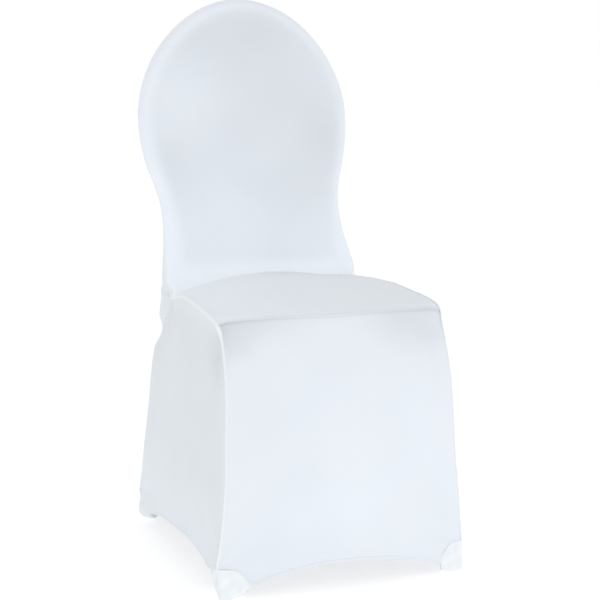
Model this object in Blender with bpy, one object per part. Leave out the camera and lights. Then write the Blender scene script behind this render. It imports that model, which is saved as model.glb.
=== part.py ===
"""Banquet chair cover: a fitted stretch-cloth cover with a round hood, a seat and a skirt.

The front is one length of cloth from the front hem, over the seat, to the crown of the hood, made
here as three solids that meet at the crease of the seat's front edge and at the foot of the hood.
The back panel runs from the crown to the rear hem, a side panel closes each side of the skirt, and
a pocket of stouter cloth is sewn in at each foot. Units are metres, +Z is up, the front faces -Y,
and the origin is on the floor under the middle of the cover.
"""
import math
from collections import namedtuple

import bmesh
import bpy
from mathutils import Vector

OBJECT_NAME = "banquet_chair_cover"
CLOTH_THICKNESS = 0.002
SEAM_GAP = 0.0003
POCKET_GAP = 0.0005
EDGE_MARGIN = 0.001
TABLE_MIDDLE_Y = 0.0356  # the tables' y at the middle of the cover, front to back

ROLL_STEPS = 4
SQUAREST_WRAP = 0.45
FLAT_STEPS = (0.07, 0.146, 0.22, 0.295, 0.43, 0.6, 0.8, 1.0)
CROWN_ROWS = 9
SIDE_COLUMNS = 16
SIDE_ROLL = 0.012
SIDE_ROLL_START = 45.0  # degrees of the side panel's rolled edge that its neighbour takes up
NEAR_SEAM = 0.018
TANGENT_STEP = 0.5      # rows to each side that give the way a seam runs

HOOD_HALF_WIDTH = 0.201
HOOD_CENTRE_Z = 0.735
HOOD_RISE = 0.220
HOOD_ROUNDNESS = 1.9
HOOD_LEAN = 0.139

ARCH_HEIGHT = 0.038
ARCH_HALF_WIDTH = 0.193
ARCH_POWER = 2.4

# A seam row gives the seam's half width, its y and z, the radius of the turn that the cloth makes
# beside it, the seam's place in that turn (0 faces sideways, 90 faces the panel's way), and the way
# the panel faces there (0 is to the front, 90 is up, 180 is to the rear), in degrees.
SeamRow = namedtuple("SeamRow", "half_width y z roll turn facing")
MAIN_SEAM = (
    SeamRow(0.2140, -0.2290, 0.0500, 0.010, 45, 0),   # top of the front pocket
    SeamRow(0.2092, -0.2320, 0.0850, 0.010, 45, 0),
    SeamRow(0.2042, -0.2342, 0.1300, 0.010, 45, 0),
    SeamRow(0.1985, -0.2336, 0.1950, 0.010, 45, 2),
    SeamRow(0.1963, -0.2300, 0.2600, 0.010, 45, 4),
    SeamRow(0.1942, -0.2252, 0.3200, 0.010, 45, 8),
    SeamRow(0.1928, -0.2168, 0.3600, 0.011, 45, 16),  # bulge over the front leg
    SeamRow(0.1914, -0.2006, 0.4000, 0.016, 45, 28),
    SeamRow(0.1920, -0.1890, 0.4190, 0.024, 45, 38),
    SeamRow(0.1940, -0.1800, 0.4300, 0.030, 45, 50),  # front corner of the seat
    SeamRow(0.1955, -0.1670, 0.4370, 0.028, 45, 68),
    SeamRow(0.1965, -0.1420, 0.4420, 0.020, 45, 82),
    SeamRow(0.1960, -0.1050, 0.4458, 0.015, 45, 86),
    SeamRow(0.1950, -0.0550, 0.4490, 0.014, 45, 88),
    SeamRow(0.1930, -0.0050, 0.4505, 0.014, 45, 90),  # highest point of the seat's side
    SeamRow(0.1895, 0.0430, 0.4455, 0.014, 45, 93),
    SeamRow(0.1855, 0.0860, 0.4370, 0.014, 36, 93),
    SeamRow(0.1800, 0.1220, 0.4295, 0.014, 20, 80),   # rear corner of the seat
    SeamRow(0.1775, 0.1440, 0.4335, 0.013, 28, 50),
    SeamRow(0.1775, 0.1570, 0.4440, 0.012, 36, 28),
    SeamRow(0.1790, 0.1660, 0.4600, 0.012, 40, 17),
    SeamRow(0.1765, 0.1800, 0.4880, 0.013, 38, 17),
    SeamRow(0.1718, 0.2030, 0.5320, 0.018, 16, 18),   # waist of the hood
    SeamRow(0.1712, 0.2225, 0.5780, 0.022, 2, 17),
    SeamRow(0.1785, 0.2380, 0.6170, 0.022, 0, 14),
    SeamRow(0.1905, 0.2478, 0.6560, 0.022, 0, 11),
    SeamRow(0.1985, 0.2545, 0.6960, 0.022, 0, 10),
    SeamRow(0.2010, 0.2605, 0.7350, 0.022, 0, 9),     # widest row of the hood
)
REAR_SEAM = (
    SeamRow(0.2075, 0.2720, 0.0500, 0.010, 45, 166),  # top of the rear pocket
    SeamRow(0.2053, 0.2600, 0.0870, 0.010, 45, 166),
    SeamRow(0.2028, 0.2460, 0.1370, 0.010, 45, 165),
    SeamRow(0.2005, 0.2310, 0.1950, 0.010, 45, 165),
    SeamRow(0.1990, 0.2160, 0.2500, 0.010, 45, 166),
    SeamRow(0.1975, 0.2010, 0.3000, 0.011, 45, 170),
    SeamRow(0.1945, 0.1830, 0.3440, 0.013, 35, 180),  # shoulder over the rear leg
    SeamRow(0.1895, 0.1650, 0.3710, 0.016, 20, 186),
    SeamRow(0.1840, 0.1430, 0.4020, 0.016, 8, 188),
    SeamRow(0.1800, 0.1220, 0.4295, 0.016, 0, 186),   # rear corner of the seat
)
SEAT_FRONT_ROW = 9
SEAT_REAR_ROW = 17
SEAT_ROWS_PER_STEP = 2
WIDEST_ROW = len(MAIN_SEAM) - 1

# The middle line of a panel, paired row by row with its seam. The back panel's rows also give how
# deep the cloth wraps round the side of the hood, and the way that the rear face faces.
FrontMiddle = namedtuple("FrontMiddle", "y z")
FRONT_MIDDLE = (
    FrontMiddle(-0.2310, 0.0390),
    FrontMiddle(-0.2325, 0.0850),
    FrontMiddle(-0.2338, 0.1300),
    FrontMiddle(-0.2345, 0.1950),
    FrontMiddle(-0.2325, 0.2600),
    FrontMiddle(-0.2268, 0.3200),
    FrontMiddle(-0.2198, 0.3600),
    FrontMiddle(-0.2108, 0.4000),
    FrontMiddle(-0.2055, 0.4210),
    FrontMiddle(-0.2012, 0.4380),  # crease along the seat's front edge
    FrontMiddle(-0.1960, 0.4434),
    FrontMiddle(-0.1700, 0.4490),
    FrontMiddle(-0.1200, 0.4560),
    FrontMiddle(-0.0600, 0.4620),
    FrontMiddle(0.0000, 0.4660),
    FrontMiddle(0.0560, 0.4685),
    FrontMiddle(0.1000, 0.4690),
    FrontMiddle(0.1310, 0.4695),   # foot of the cove between the seat and the hood
    FrontMiddle(0.1490, 0.4740),
    FrontMiddle(0.1600, 0.4830),
    FrontMiddle(0.1670, 0.4960),
    FrontMiddle(0.1750, 0.5180),
    FrontMiddle(0.1890, 0.5500),
    FrontMiddle(0.2050, 0.5850),
    FrontMiddle(0.2190, 0.6200),
    FrontMiddle(0.2285, 0.6560),
    FrontMiddle(0.2355, 0.6960),
    FrontMiddle(0.2420, 0.7350),   # centre of the hood's round top
)
BackMiddle = namedtuple("BackMiddle", "y z wrap facing")
SKIRT_BACK_MIDDLE = (
    BackMiddle(0.2765, 0.0390, 0.000, 166),
    BackMiddle(0.2645, 0.0870, 0.000, 166),
    BackMiddle(0.2490, 0.1370, 0.000, 165),
    BackMiddle(0.2350, 0.1950, 0.000, 165),
    BackMiddle(0.2235, 0.2500, 0.000, 168),
    BackMiddle(0.2150, 0.3000, 0.004, 174),
    BackMiddle(0.2160, 0.3440, 0.025, 180),
    BackMiddle(0.2220, 0.3740, 0.050, 184),
    BackMiddle(0.2290, 0.4020, 0.077, 184),
)
HOOD_BACK_MIDDLE = (
    BackMiddle(0.2330, 0.4280, 0.101, 178),
    BackMiddle(0.2300, 0.4460, 0.078, 174),
    BackMiddle(0.2250, 0.4600, 0.060, 176),
    BackMiddle(0.2205, 0.4760, 0.046, 184),
    BackMiddle(0.2225, 0.5050, 0.036, 192),
    BackMiddle(0.2335, 0.5450, 0.028, 197),
    BackMiddle(0.2465, 0.5850, 0.023, 197),
    BackMiddle(0.2600, 0.6220, 0.022, 194),
    BackMiddle(0.2700, 0.6570, 0.022, 191),
    BackMiddle(0.2770, 0.6960, 0.022, 190),
    BackMiddle(0.2830, 0.7350, 0.022, 189),
)

# The lower edge of the side panel, from the front pocket to the rear pocket, and how far it is drawn
# in from the line between the two.
HemPoint = namedtuple("HemPoint", "y z inset")
SIDE_HEM = (
    HemPoint(-0.2290, 0.0500, 0.0000),
    HemPoint(-0.2000, 0.0430, 0.0050),
    HemPoint(-0.1664, 0.0335, 0.0075),  # end of the front pocket
    HemPoint(-0.1400, 0.0400, 0.0075),
    HemPoint(-0.1080, 0.0450, 0.0070),
    HemPoint(-0.0450, 0.0475, 0.0060),
    HemPoint(0.0180, 0.0455, 0.0050),
    HemPoint(0.0810, 0.0415, 0.0045),
    HemPoint(0.1440, 0.0335, 0.0040),
    HemPoint(0.2070, 0.0240, 0.0020),   # end of the rear pocket
    HemPoint(0.2400, 0.0390, 0.0000),
    HemPoint(0.2720, 0.0500, 0.0000),
)
# The upper edge of a pocket on the front or rear face, and its lower edges on the face and on the
# side, by the distance from the corner. The last row is the pocket's tip.
EdgePoint = namedtuple("EdgePoint", "along z")
LEFT_POCKET_TOP = (
    EdgePoint(0.000, 0.0500),
    EdgePoint(0.037, 0.0460),
    EdgePoint(0.068, 0.0215),
)
RIGHT_POCKET_TOP = (
    EdgePoint(0.000, 0.0500),
    EdgePoint(0.020, 0.0465),
    EdgePoint(0.037, 0.0260),
    EdgePoint(0.053, 0.0200),
)
LEFT_POCKET_FOOT = (
    EdgePoint(0.000, 0.0000),
    EdgePoint(0.018, 0.0000),
    EdgePoint(0.037, 0.0070),
    EdgePoint(0.068, 0.0160),
)
RIGHT_POCKET_FOOT = (
    EdgePoint(0.000, 0.0000),
    EdgePoint(0.021, 0.0010),
    EdgePoint(0.037, 0.0070),
    EdgePoint(0.053, 0.0140),
)
FRONT_SIDE_FOOT = (
    EdgePoint(0.000, 0.0000),
    EdgePoint(0.030, 0.0000),
    EdgePoint(0.045, 0.0070),
    EdgePoint(0.060, 0.0230),
)
REAR_SIDE_FOOT = (
    EdgePoint(0.000, 0.0000),
    EdgePoint(0.024, 0.0000),
    EdgePoint(0.065, 0.0170),
)
FRONT_FOOT_LEAN = Vector((-0.0016, -0.0073))
REAR_FOOT_LEAN = Vector((0.0005, 0.0110))
POCKET_EDGE_ROUND = 0.004
POCKET_END_WIDTH = 0.009
POCKET_INNER_HEIGHT = 0.55
POCKET_ROUND_SHARE = 0.35  # most of a pocket's height that its rounded edge takes
POCKET_TUCK_SHARE = 0.3    # most of its width under the foot that the same edge takes

# Places where the cloth is drawn in or stands higher on one side only. Each fades out over the
# reach from its centre; the centre's y counts as in the other tables.
Push = namedtuple("Push", "x y z reach_x reach_y reach_z by_x by_y by_z")
PUSHES = (
    Push(0.180, 0.130, 0.440, 0.100, 0.160, 0.090, 0.000, 0.000, 0.012),     # right rear of the seat
    Push(-0.168, -0.198, 0.408, 0.036, 0.045, 0.030, 0.003, 0.008, -0.001),  # left end of the crease
    Push(-0.197, -0.165, 0.400, 0.030, 0.032, 0.040, 0.004, 0.001, 0.000),   # side, below its corner
    Push(0.165, -0.198, 0.413, 0.042, 0.040, 0.026, 0.000, 0.005, -0.001),   # right end of the crease
    Push(-0.180, 0.168, 0.432, 0.030, 0.030, 0.032, 0.004, 0.000, 0.000),    # dimple behind the seat
)

CLOTH_COLOUR = (0.83, 0.87, 0.91)
CLOTH_ROUGHNESS = 0.8
POCKET_COLOUR = (0.88, 0.91, 0.93)
POCKET_ROUGHNESS = 0.85
MERGE_DISTANCE = 0.00001
SHARP_ANGLE = 50.0

SeamFrame = namedtuple("SeamFrame", "point normal across roll turn facing")


def facing_vector(degrees):
    """Unit vector in the plane of symmetry: 0 degrees faces the front and 90 faces up."""
    angle = math.radians(degrees)
    return Vector((0.0, -math.cos(angle), math.sin(angle)))


def between(rows, at):
    """Row of a table at a fractional row number."""
    low = min(int(at), len(rows) - 2)
    part = at - low
    values = [a + (b - a) * part for a, b in zip(rows[low], rows[low + 1])]
    return type(rows[0])(*values)


def height_along(points, distance):
    """Second column of a table at a value of its first column, such as a height at a distance."""
    for first, second in zip(points, points[1:]):
        if distance <= second[0]:
            part = (distance - first[0]) / (second[0] - first[0])
            return first[1] + (second[1] - first[1]) * max(part, 0.0)
    return points[-1][1]


def hood_outline(turned):
    """Point on the round top of the hood, and the way its edge faces, from 0 degrees at the side."""
    angle = math.radians(turned)
    bulge = 2.0 / HOOD_ROUNDNESS
    x = HOOD_HALF_WIDTH * max(math.cos(angle), 0.0) ** bulge
    rise = HOOD_RISE * math.sin(angle) ** bulge
    widest = MAIN_SEAM[WIDEST_ROW]
    point = Vector((x, widest.y + HOOD_LEAN * rise, HOOD_CENTRE_Z + rise))
    side = Vector((math.cos(angle) / HOOD_HALF_WIDTH, 0.0, math.sin(angle) / HOOD_RISE)).normalized()
    return point, side


def main_seam_point(at):
    """Point of the main seam at a row number; rows past the widest one go round the hood's top."""
    if at <= WIDEST_ROW:
        row = between(MAIN_SEAM, at)
        return Vector((row.half_width, row.y, row.z))
    return hood_outline(90.0 * (at - WIDEST_ROW) / CROWN_ROWS)[0]


def main_seam(at):
    """Frame of the right-hand seam between the front panel and its neighbours."""
    row = between(MAIN_SEAM, min(at, WIDEST_ROW))
    side = Vector((1.0, 0.0, 0.0))
    if at > WIDEST_ROW:
        side = hood_outline(90.0 * (at - WIDEST_ROW) / CROWN_ROWS)[1]
    turn = math.radians(row.turn)
    facing = facing_vector(row.facing)
    normal = (side * math.cos(turn) + facing * math.sin(turn)).normalized()
    last = WIDEST_ROW + CROWN_ROWS
    ahead = main_seam_point(min(at + TANGENT_STEP, last))
    tangent = ahead - main_seam_point(max(at - TANGENT_STEP, 0.0))
    if at >= last:
        tangent = Vector((-1.0, 0.0, 0.0))
    across = normal.cross(tangent).normalized()
    return SeamFrame(main_seam_point(at), normal, across, row.roll, turn, facing)


def rear_seam(at):
    """Frame of the right-hand seam between the side panel and the back panel."""
    row = between(REAR_SEAM, at)
    last = len(REAR_SEAM) - 1
    turn = math.radians(row.turn)
    facing = facing_vector(row.facing)
    normal = (Vector((1.0, 0.0, 0.0)) * math.cos(turn) + facing * math.sin(turn)).normalized()
    if at >= last:
        normal = main_seam(SEAT_REAR_ROW).normal
    low = between(REAR_SEAM, max(at - TANGENT_STEP, 0.0))
    high = between(REAR_SEAM, min(at + TANGENT_STEP, last))
    tangent = Vector((high.half_width - low.half_width, high.y - low.y, high.z - low.z))
    across = tangent.cross(normal).normalized()
    return SeamFrame(Vector((row.half_width, row.y, row.z)), normal, across, row.roll, turn, facing)


def half_section(start, frame, middle, wrap=0.0):
    """Points across half a panel, from its seam through the turn beside it to the middle line."""
    reach = middle - start
    depth = reach.dot(frame.facing)
    level = reach - frame.facing * depth
    sine = math.sin(frame.turn)
    cosine = math.cos(frame.turn)
    round_lift = frame.roll * (1.0 - sine)
    lift = max(wrap, round_lift)
    squareness = max(math.sqrt(round_lift / lift), SQUAREST_WRAP)
    share = frame.roll * cosine / max(level.length, frame.roll)
    places = []
    for step in range(ROLL_STEPS + 1):
        angle = frame.turn + (math.pi / 2.0 - frame.turn) * step / ROLL_STEPS
        left = max(math.cos(angle) / cosine, 0.0)
        turned = (math.sin(angle) - sine) / (1.0 - sine)
        places.append((share * (1.0 - left ** squareness), turned ** squareness))
    places += [(share + (1.0 - share) * flat, 1.0) for flat in FLAT_STEPS]
    points = []
    for along, turned in places:
        crown = (depth - lift) * (1.0 - (1.0 - along) ** 2)
        points.append(start + level * along + frame.facing * (lift * turned + crown))
    return points


def arch_height(x):
    """Height of the front or rear hem at a distance from the middle."""
    return ARCH_HEIGHT * (1.0 - min(abs(x) / ARCH_HALF_WIDTH, 1.0) ** ARCH_POWER)


def over_pocket(point, corner, pocket_top):
    """Whether a point of a panel's lower edge lies along a pocket, and not along the open hem."""
    return corner.x - point.x < pocket_top[-1].along + EDGE_MARGIN


def hem_row(points, pocket_top):
    """Bring the lowest row of a panel's right half to the height of its hem."""
    corner = points[0]
    row = []
    for point in points:
        height = arch_height(point.x)
        if over_pocket(point, corner, pocket_top):
            height = height_along(pocket_top, corner.x - point.x)
        row.append(Vector((point.x, point.y, height)))
    return row


def mirrored(points):
    """The same points on the other side of the plane of symmetry."""
    return [Vector((-p.x, p.y, p.z)) for p in points]


def whole_row(half):
    """A row across both halves, from the left seam to the right seam, from its right half."""
    return mirrored(half) + list(reversed(half))[1:]


def pulled(frame, sign):
    """Edge point of a panel beside a seam, half a gap from the seam line."""
    return frame.point + frame.across * (sign * SEAM_GAP / 2.0)


def front_rows():
    """Right half of the front panel's rows, from the corner line to the crown, and edge normals."""
    halves = []
    normals = []
    seat_steps = SEAT_ROWS_PER_STEP * (SEAT_REAR_ROW - SEAT_FRONT_ROW)
    seat_rows = [SEAT_FRONT_ROW + step / SEAT_ROWS_PER_STEP for step in range(seat_steps)]
    upper_rows = list(range(SEAT_REAR_ROW, WIDEST_ROW + CROWN_ROWS + 1))
    for at in list(range(SEAT_FRONT_ROW)) + seat_rows + upper_rows:
        frame = main_seam(at)
        middle = between(FRONT_MIDDLE, min(at, WIDEST_ROW))
        halves.append(half_section(pulled(frame, 1.0), frame, Vector((0.0, middle.y, middle.z))))
        normals.append(frame.normal)
    return halves, normals


def back_frame(frame, facing):
    """Frame of the main seam as the back panel sees it, whose turn starts at the hood's side."""
    return frame._replace(turn=0.0, facing=facing_vector(facing))


def back_rows():
    """Right half of the back panel's rows, from the hem to the crown, with its edge normals."""
    halves = []
    normals = []
    for at, middle in enumerate(SKIRT_BACK_MIDDLE):
        frame = rear_seam(at)
        middle_point = Vector((0.0, middle.y, middle.z))
        halves.append(half_section(pulled(frame, 1.0), frame, middle_point, middle.wrap))
        normals.append(frame.normal)
    for at in range(SEAT_REAR_ROW, WIDEST_ROW + CROWN_ROWS + 1):
        frame = main_seam(at)
        middle = HOOD_BACK_MIDDLE[min(at, WIDEST_ROW) - SEAT_REAR_ROW]
        start = pulled(frame, -1.0)
        if at == SEAT_REAR_ROW:
            start += rear_seam(len(REAR_SEAM) - 1).across * (SEAM_GAP / 2.0)
        section_frame = back_frame(frame, middle.facing)
        half = half_section(start, section_frame, Vector((0.0, middle.y, middle.z)), middle.wrap)
        halves.append(half)
        normals.append(frame.normal)
    return halves, normals


def side_edge(frame, sign):
    """Edge point of the side panel and its outward normal."""
    return pulled(frame, sign), frame.normal


def on_chord(edges, steps, index):
    """Edge point and normal moved to the straight line between its two neighbours."""
    part = (steps[index] - steps[index - 1]) / (steps[index + 1] - steps[index - 1])
    return tuple(low.lerp(high, part) for low, high in zip(edges[index - 1], edges[index + 1]))


def side_bottom(part):
    """Point of the side panel's lower edge, from 0 at the front seam to 1 at the rear seam."""
    front = pulled(main_seam(0.0), -1.0)
    rear = pulled(rear_seam(0.0), -1.0)
    point = front.lerp(rear, part)
    point.z = height_along(SIDE_HEM, point.y)
    point.x -= height_along([(row.y, row.inset) for row in SIDE_HEM], point.y)
    return point


def roll_out(distance):
    """How far the side panel stands out from the seam line at a distance from the seam."""
    start = math.radians(SIDE_ROLL_START)
    reach = SIDE_ROLL * math.sin(start)
    inside = max(reach - distance, 0.0)
    return math.sqrt(SIDE_ROLL ** 2 - inside ** 2) - SIDE_ROLL * math.cos(start)


def side_steps(count):
    """Steps of 0 to 1 with one more close to each end, beside the seams."""
    steps = [step / count for step in range(count + 1)]
    return [steps[0], NEAR_SEAM] + steps[1:-1] + [1.0 - NEAR_SEAM, steps[-1]]


def side_rows():
    """Rows of the right side panel from hem to seat, front to rear, with its edge normals."""
    rear_last = len(REAR_SEAM) - 1
    corner = main_seam(SEAT_REAR_ROW)
    corner_point = pulled(corner, -1.0) - rear_seam(rear_last).across * (SEAM_GAP / 2.0)
    ups = side_steps(SEAT_FRONT_ROW)[:1] + side_steps(SEAT_FRONT_ROW)[2:]
    acrosses = side_steps(SIDE_COLUMNS)
    seat_span = SEAT_REAR_ROW - SEAT_FRONT_ROW
    front = [side_edge(main_seam(SEAT_FRONT_ROW * up), -1.0) for up in ups]
    rear = [side_edge(rear_seam(rear_last * up), -1.0) for up in ups]
    rear[-1] = (corner_point, corner.normal)
    top = [side_edge(main_seam(SEAT_FRONT_ROW + seat_span * part), -1.0) for part in acrosses]
    top[-1] = (corner_point, corner.normal)
    front[-2] = on_chord(front, ups, len(ups) - 2)
    rear[-2] = on_chord(rear, ups, len(ups) - 2)
    top[1] = on_chord(top, acrosses, 1)
    top[-2] = on_chord(top, acrosses, len(acrosses) - 2)
    bottom = [side_bottom(part) for part in acrosses]
    limit = roll_out(SIDE_ROLL)
    rows = []
    edges = {}
    for j, up in enumerate(ups):
        row = []
        for i, part in enumerate(acrosses):
            ruled_across = front[j][0].lerp(rear[j][0], part)
            ruled_up = bottom[i].lerp(top[i][0], up)
            corners = bottom[0].lerp(bottom[-1], part).lerp(top[0][0].lerp(top[-1][0], part), up)
            point = ruled_across + ruled_up - corners
            gaps = ((point - front[j][0]).length, (point - rear[j][0]).length, (point - top[i][0]).length)
            outs = [roll_out(gap) / limit for gap in gaps]
            point.x += limit * outs[0] * outs[1] * outs[2]
            row.append(point)
        rows.append(row)
        edges[key_of(row[0])] = front[j][1]
        edges[key_of(row[-1])] = rear[j][1]
    for i, point in enumerate(rows[-1]):
        edges[key_of(point)] = top[i][1]
    return rows, edges


def push_at(point):
    """How far the cloth is moved at a place by the one-sided pushes."""
    moved = Vector((0.0, 0.0, 0.0))
    for push in PUSHES:
        away = (
            (point.x - push.x) / push.reach_x,
            (point.y - push.y) / push.reach_y,
            (point.z - push.z) / push.reach_z,
        )
        weight = 1.0
        for part in away:
            weight *= max(1.0 - part * part, 0.0) ** 2
        moved += Vector((push.by_x, push.by_y, push.by_z)) * weight
    return moved


def key_of(point):
    """Position rounded to a hundredth of a millimetre, to find a point again."""
    return tuple(round(value, 5) for value in point)


def principled(name, colour, roughness):
    """A plain cloth material."""
    material = bpy.data.materials.new(name)
    material.use_nodes = True
    shader = material.node_tree.nodes["Principled BSDF"]
    shader.inputs["Base Color"].default_value = (*colour, 1.0)
    shader.inputs["Roughness"].default_value = roughness
    shader.inputs["Metallic"].default_value = 0.0
    return material


def cloth_wall(name, rows, edge_normals, thickness, material, collection, side=1.0):
    """Make a grid of outer points a closed wall of cloth; a side of -1 mirrors it in x."""
    shell = bmesh.new()
    grid = [[shell.verts.new(point) for point in row] for row in rows]
    for lower, upper in zip(grid, grid[1:]):
        for i in range(len(lower) - 1):
            shell.faces.new((lower[i], lower[i + 1], upper[i + 1], upper[i]))
    bmesh.ops.remove_doubles(shell, verts=shell.verts[:], dist=MERGE_DISTANCE)
    bmesh.ops.triangulate(shell, faces=shell.faces[:])
    shell.normal_update()
    inner = {}
    for vert in shell.verts[:]:
        normal = edge_normals.get(key_of(vert.co), vert.normal)
        inner[vert] = shell.verts.new(vert.co - normal * thickness)
    outer_faces = shell.faces[:]
    edges = [edge for edge in shell.edges if edge.is_boundary]
    for edge in edges:
        first = edge.link_loops[0].vert
        second = edge.other_vert(first)
        shell.faces.new((second, first, inner[first], inner[second]))
    for face in outer_faces:
        shell.faces.new([inner[vert] for vert in reversed(face.verts)])
    for vert in shell.verts:
        vert.co.x *= side
        vert.co += push_at(vert.co)
        vert.co.y -= TABLE_MIDDLE_Y
    if side < 0.0:
        bmesh.ops.reverse_faces(shell, faces=shell.faces[:])
    bmesh.ops.triangulate(shell, faces=shell.faces[:])
    mesh = bpy.data.meshes.new(name)
    shell.to_mesh(mesh)
    shell.free()
    mesh.shade_smooth()
    mesh.set_sharp_from_angle(angle=math.radians(SHARP_ANGLE))
    mesh.materials.append(material)
    piece = bpy.data.objects.new(name, mesh)
    collection.objects.link(piece)
    return piece


def lengthwise_panel(halves, hems, normals):
    """Rows across the whole front or back panel, hem first, and the normals along its seams."""
    rows = [mirrored(hems[0]) + list(reversed(hems[1]))[1:]]
    rows += [whole_row(half) for half in halves[1:]]
    edges = {}
    for half, normal in zip(halves, normals):
        edges[key_of(half[0])] = normal
        edges[key_of(Vector((-half[0].x, half[0].y, half[0].z)))] = Vector((-normal.x, normal.y, normal.z))
    return rows, edges


def cut_normals(rows, number):
    """Outward normal at each point of one row of the front, from the points around it."""
    row = rows[number]
    normals = []
    for i in range(len(row)):
        across = row[min(i + 1, len(row) - 1)] - row[max(i - 1, 0)]
        along = rows[number + 1][i] - rows[number - 1][i]
        normals.append(across.cross(along).normalized())
    return normals


def front_piece(rows, edges, first, last):
    """Rows from first to last of the front, each cut edge half a gap back, and its edge normals."""
    piece = [list(row) for row in rows[first:last + 1]]
    normals = dict(edges)
    for number, end, step in ((first, 0, 1), (last, -1, -1)):
        if number in (0, len(rows) - 1):
            continue
        for i, normal in enumerate(cut_normals(rows, number)):
            point = rows[number][i]
            moved = point + (rows[number + step][i] - point).normalized() * (SEAM_GAP / 2.0)
            piece[end][i] = moved
            normals[key_of(moved)] = edges.get(key_of(point), normal)
    return piece, normals


def pocket_rows(face_row, side_row, pocket_top, face_foot, side_foot, lean):
    """Rows of a foot pocket: down its outer wall, under the foot and up its inner wall."""
    face = [p for p in face_row if over_pocket(p, face_row[0], pocket_top)]
    corner = (face[0] + side_row[0]) / 2.0
    tops = list(reversed(face[1:])) + [corner] + side_row[1:]
    walls = []
    for point in tops:
        on_face = abs(point.x - corner.x) > abs(point.y - corner.y)
        along = (Vector(point.xy) - Vector(corner.xy)).length
        foot = height_along(face_foot if on_face else side_foot, along)
        top = point - Vector((0.0, 0.0, POCKET_GAP))
        drop = (top.z - foot) / corner.z
        low = Vector((top.x + lean.x * drop, top.y + lean.y * drop, foot))
        walls.append((top, low))
    inward = -math.copysign(1.0, lean.y)
    first = walls[0][1] + Vector((0.0, inward * POCKET_END_WIDTH, 0.0))
    last = walls[-1][1] + Vector((-POCKET_END_WIDTH, 0.0, 0.0))
    rows = [[], [], [], [], [], [], [], []]
    for number, (top, low) in enumerate(walls):
        inner = first.lerp(last, number / (len(walls) - 1))
        inner.z = low.z
        inner_top = inner + Vector((0.0, 0.0, (top.z - low.z) * POCKET_INNER_HEIGHT))
        lift = Vector((0.0, 0.0, min(POCKET_EDGE_ROUND, (top.z - low.z) * POCKET_ROUND_SHARE)))
        width = (inner - low).length
        tuck = min(POCKET_EDGE_ROUND / width, POCKET_TUCK_SHARE)
        rows[0].append(top)
        rows[1].append(top.lerp(low + lift, 0.5))
        rows[2].append(low + lift)
        rows[3].append(low.lerp(inner, tuck))
        rows[4].append(low.lerp(inner, 0.5))
        rows[5].append(low.lerp(inner, 1.0 - tuck))
        rows[6].append(inner + lift)
        rows[7].append(inner_top)
    return rows


def build():
    """Build every piece of the cover."""
    for piece in list(bpy.data.objects):
        bpy.data.objects.remove(piece, do_unlink=True)
    collection = bpy.data.collections.new(OBJECT_NAME)
    bpy.context.scene.collection.children.link(collection)
    names = ("front_skirt", "seat_top", "hood_front", "back_panel", "side_panel_left", "side_panel_right")
    cloth = {name: principled(f"{name}_cloth", CLOTH_COLOUR, CLOTH_ROUGHNESS) for name in names}

    front_halves, front_normals = front_rows()
    front_left_hem = hem_row(front_halves[0], LEFT_POCKET_TOP)
    front_right_hem = hem_row(front_halves[0], RIGHT_POCKET_TOP)
    front, front_edges = lengthwise_panel(front_halves, (front_left_hem, front_right_hem), front_normals)
    seat_front = SEAT_FRONT_ROW
    seat_rear = SEAT_FRONT_ROW + SEAT_ROWS_PER_STEP * (SEAT_REAR_ROW - SEAT_FRONT_ROW)
    cuts = (
        ("front_skirt", 0, seat_front),
        ("seat_top", seat_front, seat_rear),
        ("hood_front", seat_rear, len(front) - 1),
    )
    for name, first, last in cuts:
        rows, edges = front_piece(front, front_edges, first, last)
        cloth_wall(name, rows, edges, CLOTH_THICKNESS, cloth[name], collection)
    back_halves, back_normals = back_rows()
    back_hem = hem_row(back_halves[0], LEFT_POCKET_TOP)
    back, back_edges = lengthwise_panel(back_halves, (back_hem, back_hem), back_normals)
    back = [list(reversed(row)) for row in back]
    cloth_wall("back_panel", back, back_edges, CLOTH_THICKNESS, cloth["back_panel"], collection)

    sides, side_normals = side_rows()
    for name, side in (("side_panel_right", 1.0), ("side_panel_left", -1.0)):
        cloth_wall(name, sides, side_normals, CLOTH_THICKNESS, cloth[name], collection, side)

    front_side = [p for p in sides[0] if p.y < SIDE_HEM[2].y + EDGE_MARGIN]
    rear_side = [p for p in reversed(sides[0]) if p.y > SIDE_HEM[-3].y - EDGE_MARGIN]
    pockets = (
        ("front_right", front_right_hem, front_side, RIGHT_POCKET_TOP, RIGHT_POCKET_FOOT, 1.0),
        ("front_left", front_left_hem, front_side, LEFT_POCKET_TOP, LEFT_POCKET_FOOT, -1.0),
        ("rear_right", back_hem, rear_side, LEFT_POCKET_TOP, LEFT_POCKET_FOOT, 1.0),
        ("rear_left", back_hem, rear_side, LEFT_POCKET_TOP, LEFT_POCKET_FOOT, -1.0),
    )
    for place, hem, side_row, top, foot, side in pockets:
        at_front = place.startswith("front")
        side_foot = FRONT_SIDE_FOOT if at_front else REAR_SIDE_FOOT
        rows = pocket_rows(hem, side_row, top, foot, side_foot,
                           FRONT_FOOT_LEAN if at_front else REAR_FOOT_LEAN)
        if at_front:
            rows = [list(reversed(row)) for row in rows]
        name = f"foot_pocket_{place}"
        pocket_cloth = principled(f"{name}_cloth", POCKET_COLOUR, POCKET_ROUGHNESS)
        cloth_wall(name, rows, {}, CLOTH_THICKNESS, pocket_cloth, collection, side)


build()
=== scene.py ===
"""Banquet chair cover in white stretch knit: its panels, foot pockets and seams, and a plain stage.

The solids of the part are loaded first. Each panel and pocket is then made again as a finer sheet in
the same place, with the seams, hems, folds and knit of the cloth. Sizes are in metres.
"""

import math
from collections import namedtuple
from itertools import accumulate

import bmesh
import bpy
from mathutils import Matrix, Vector, noise


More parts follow.
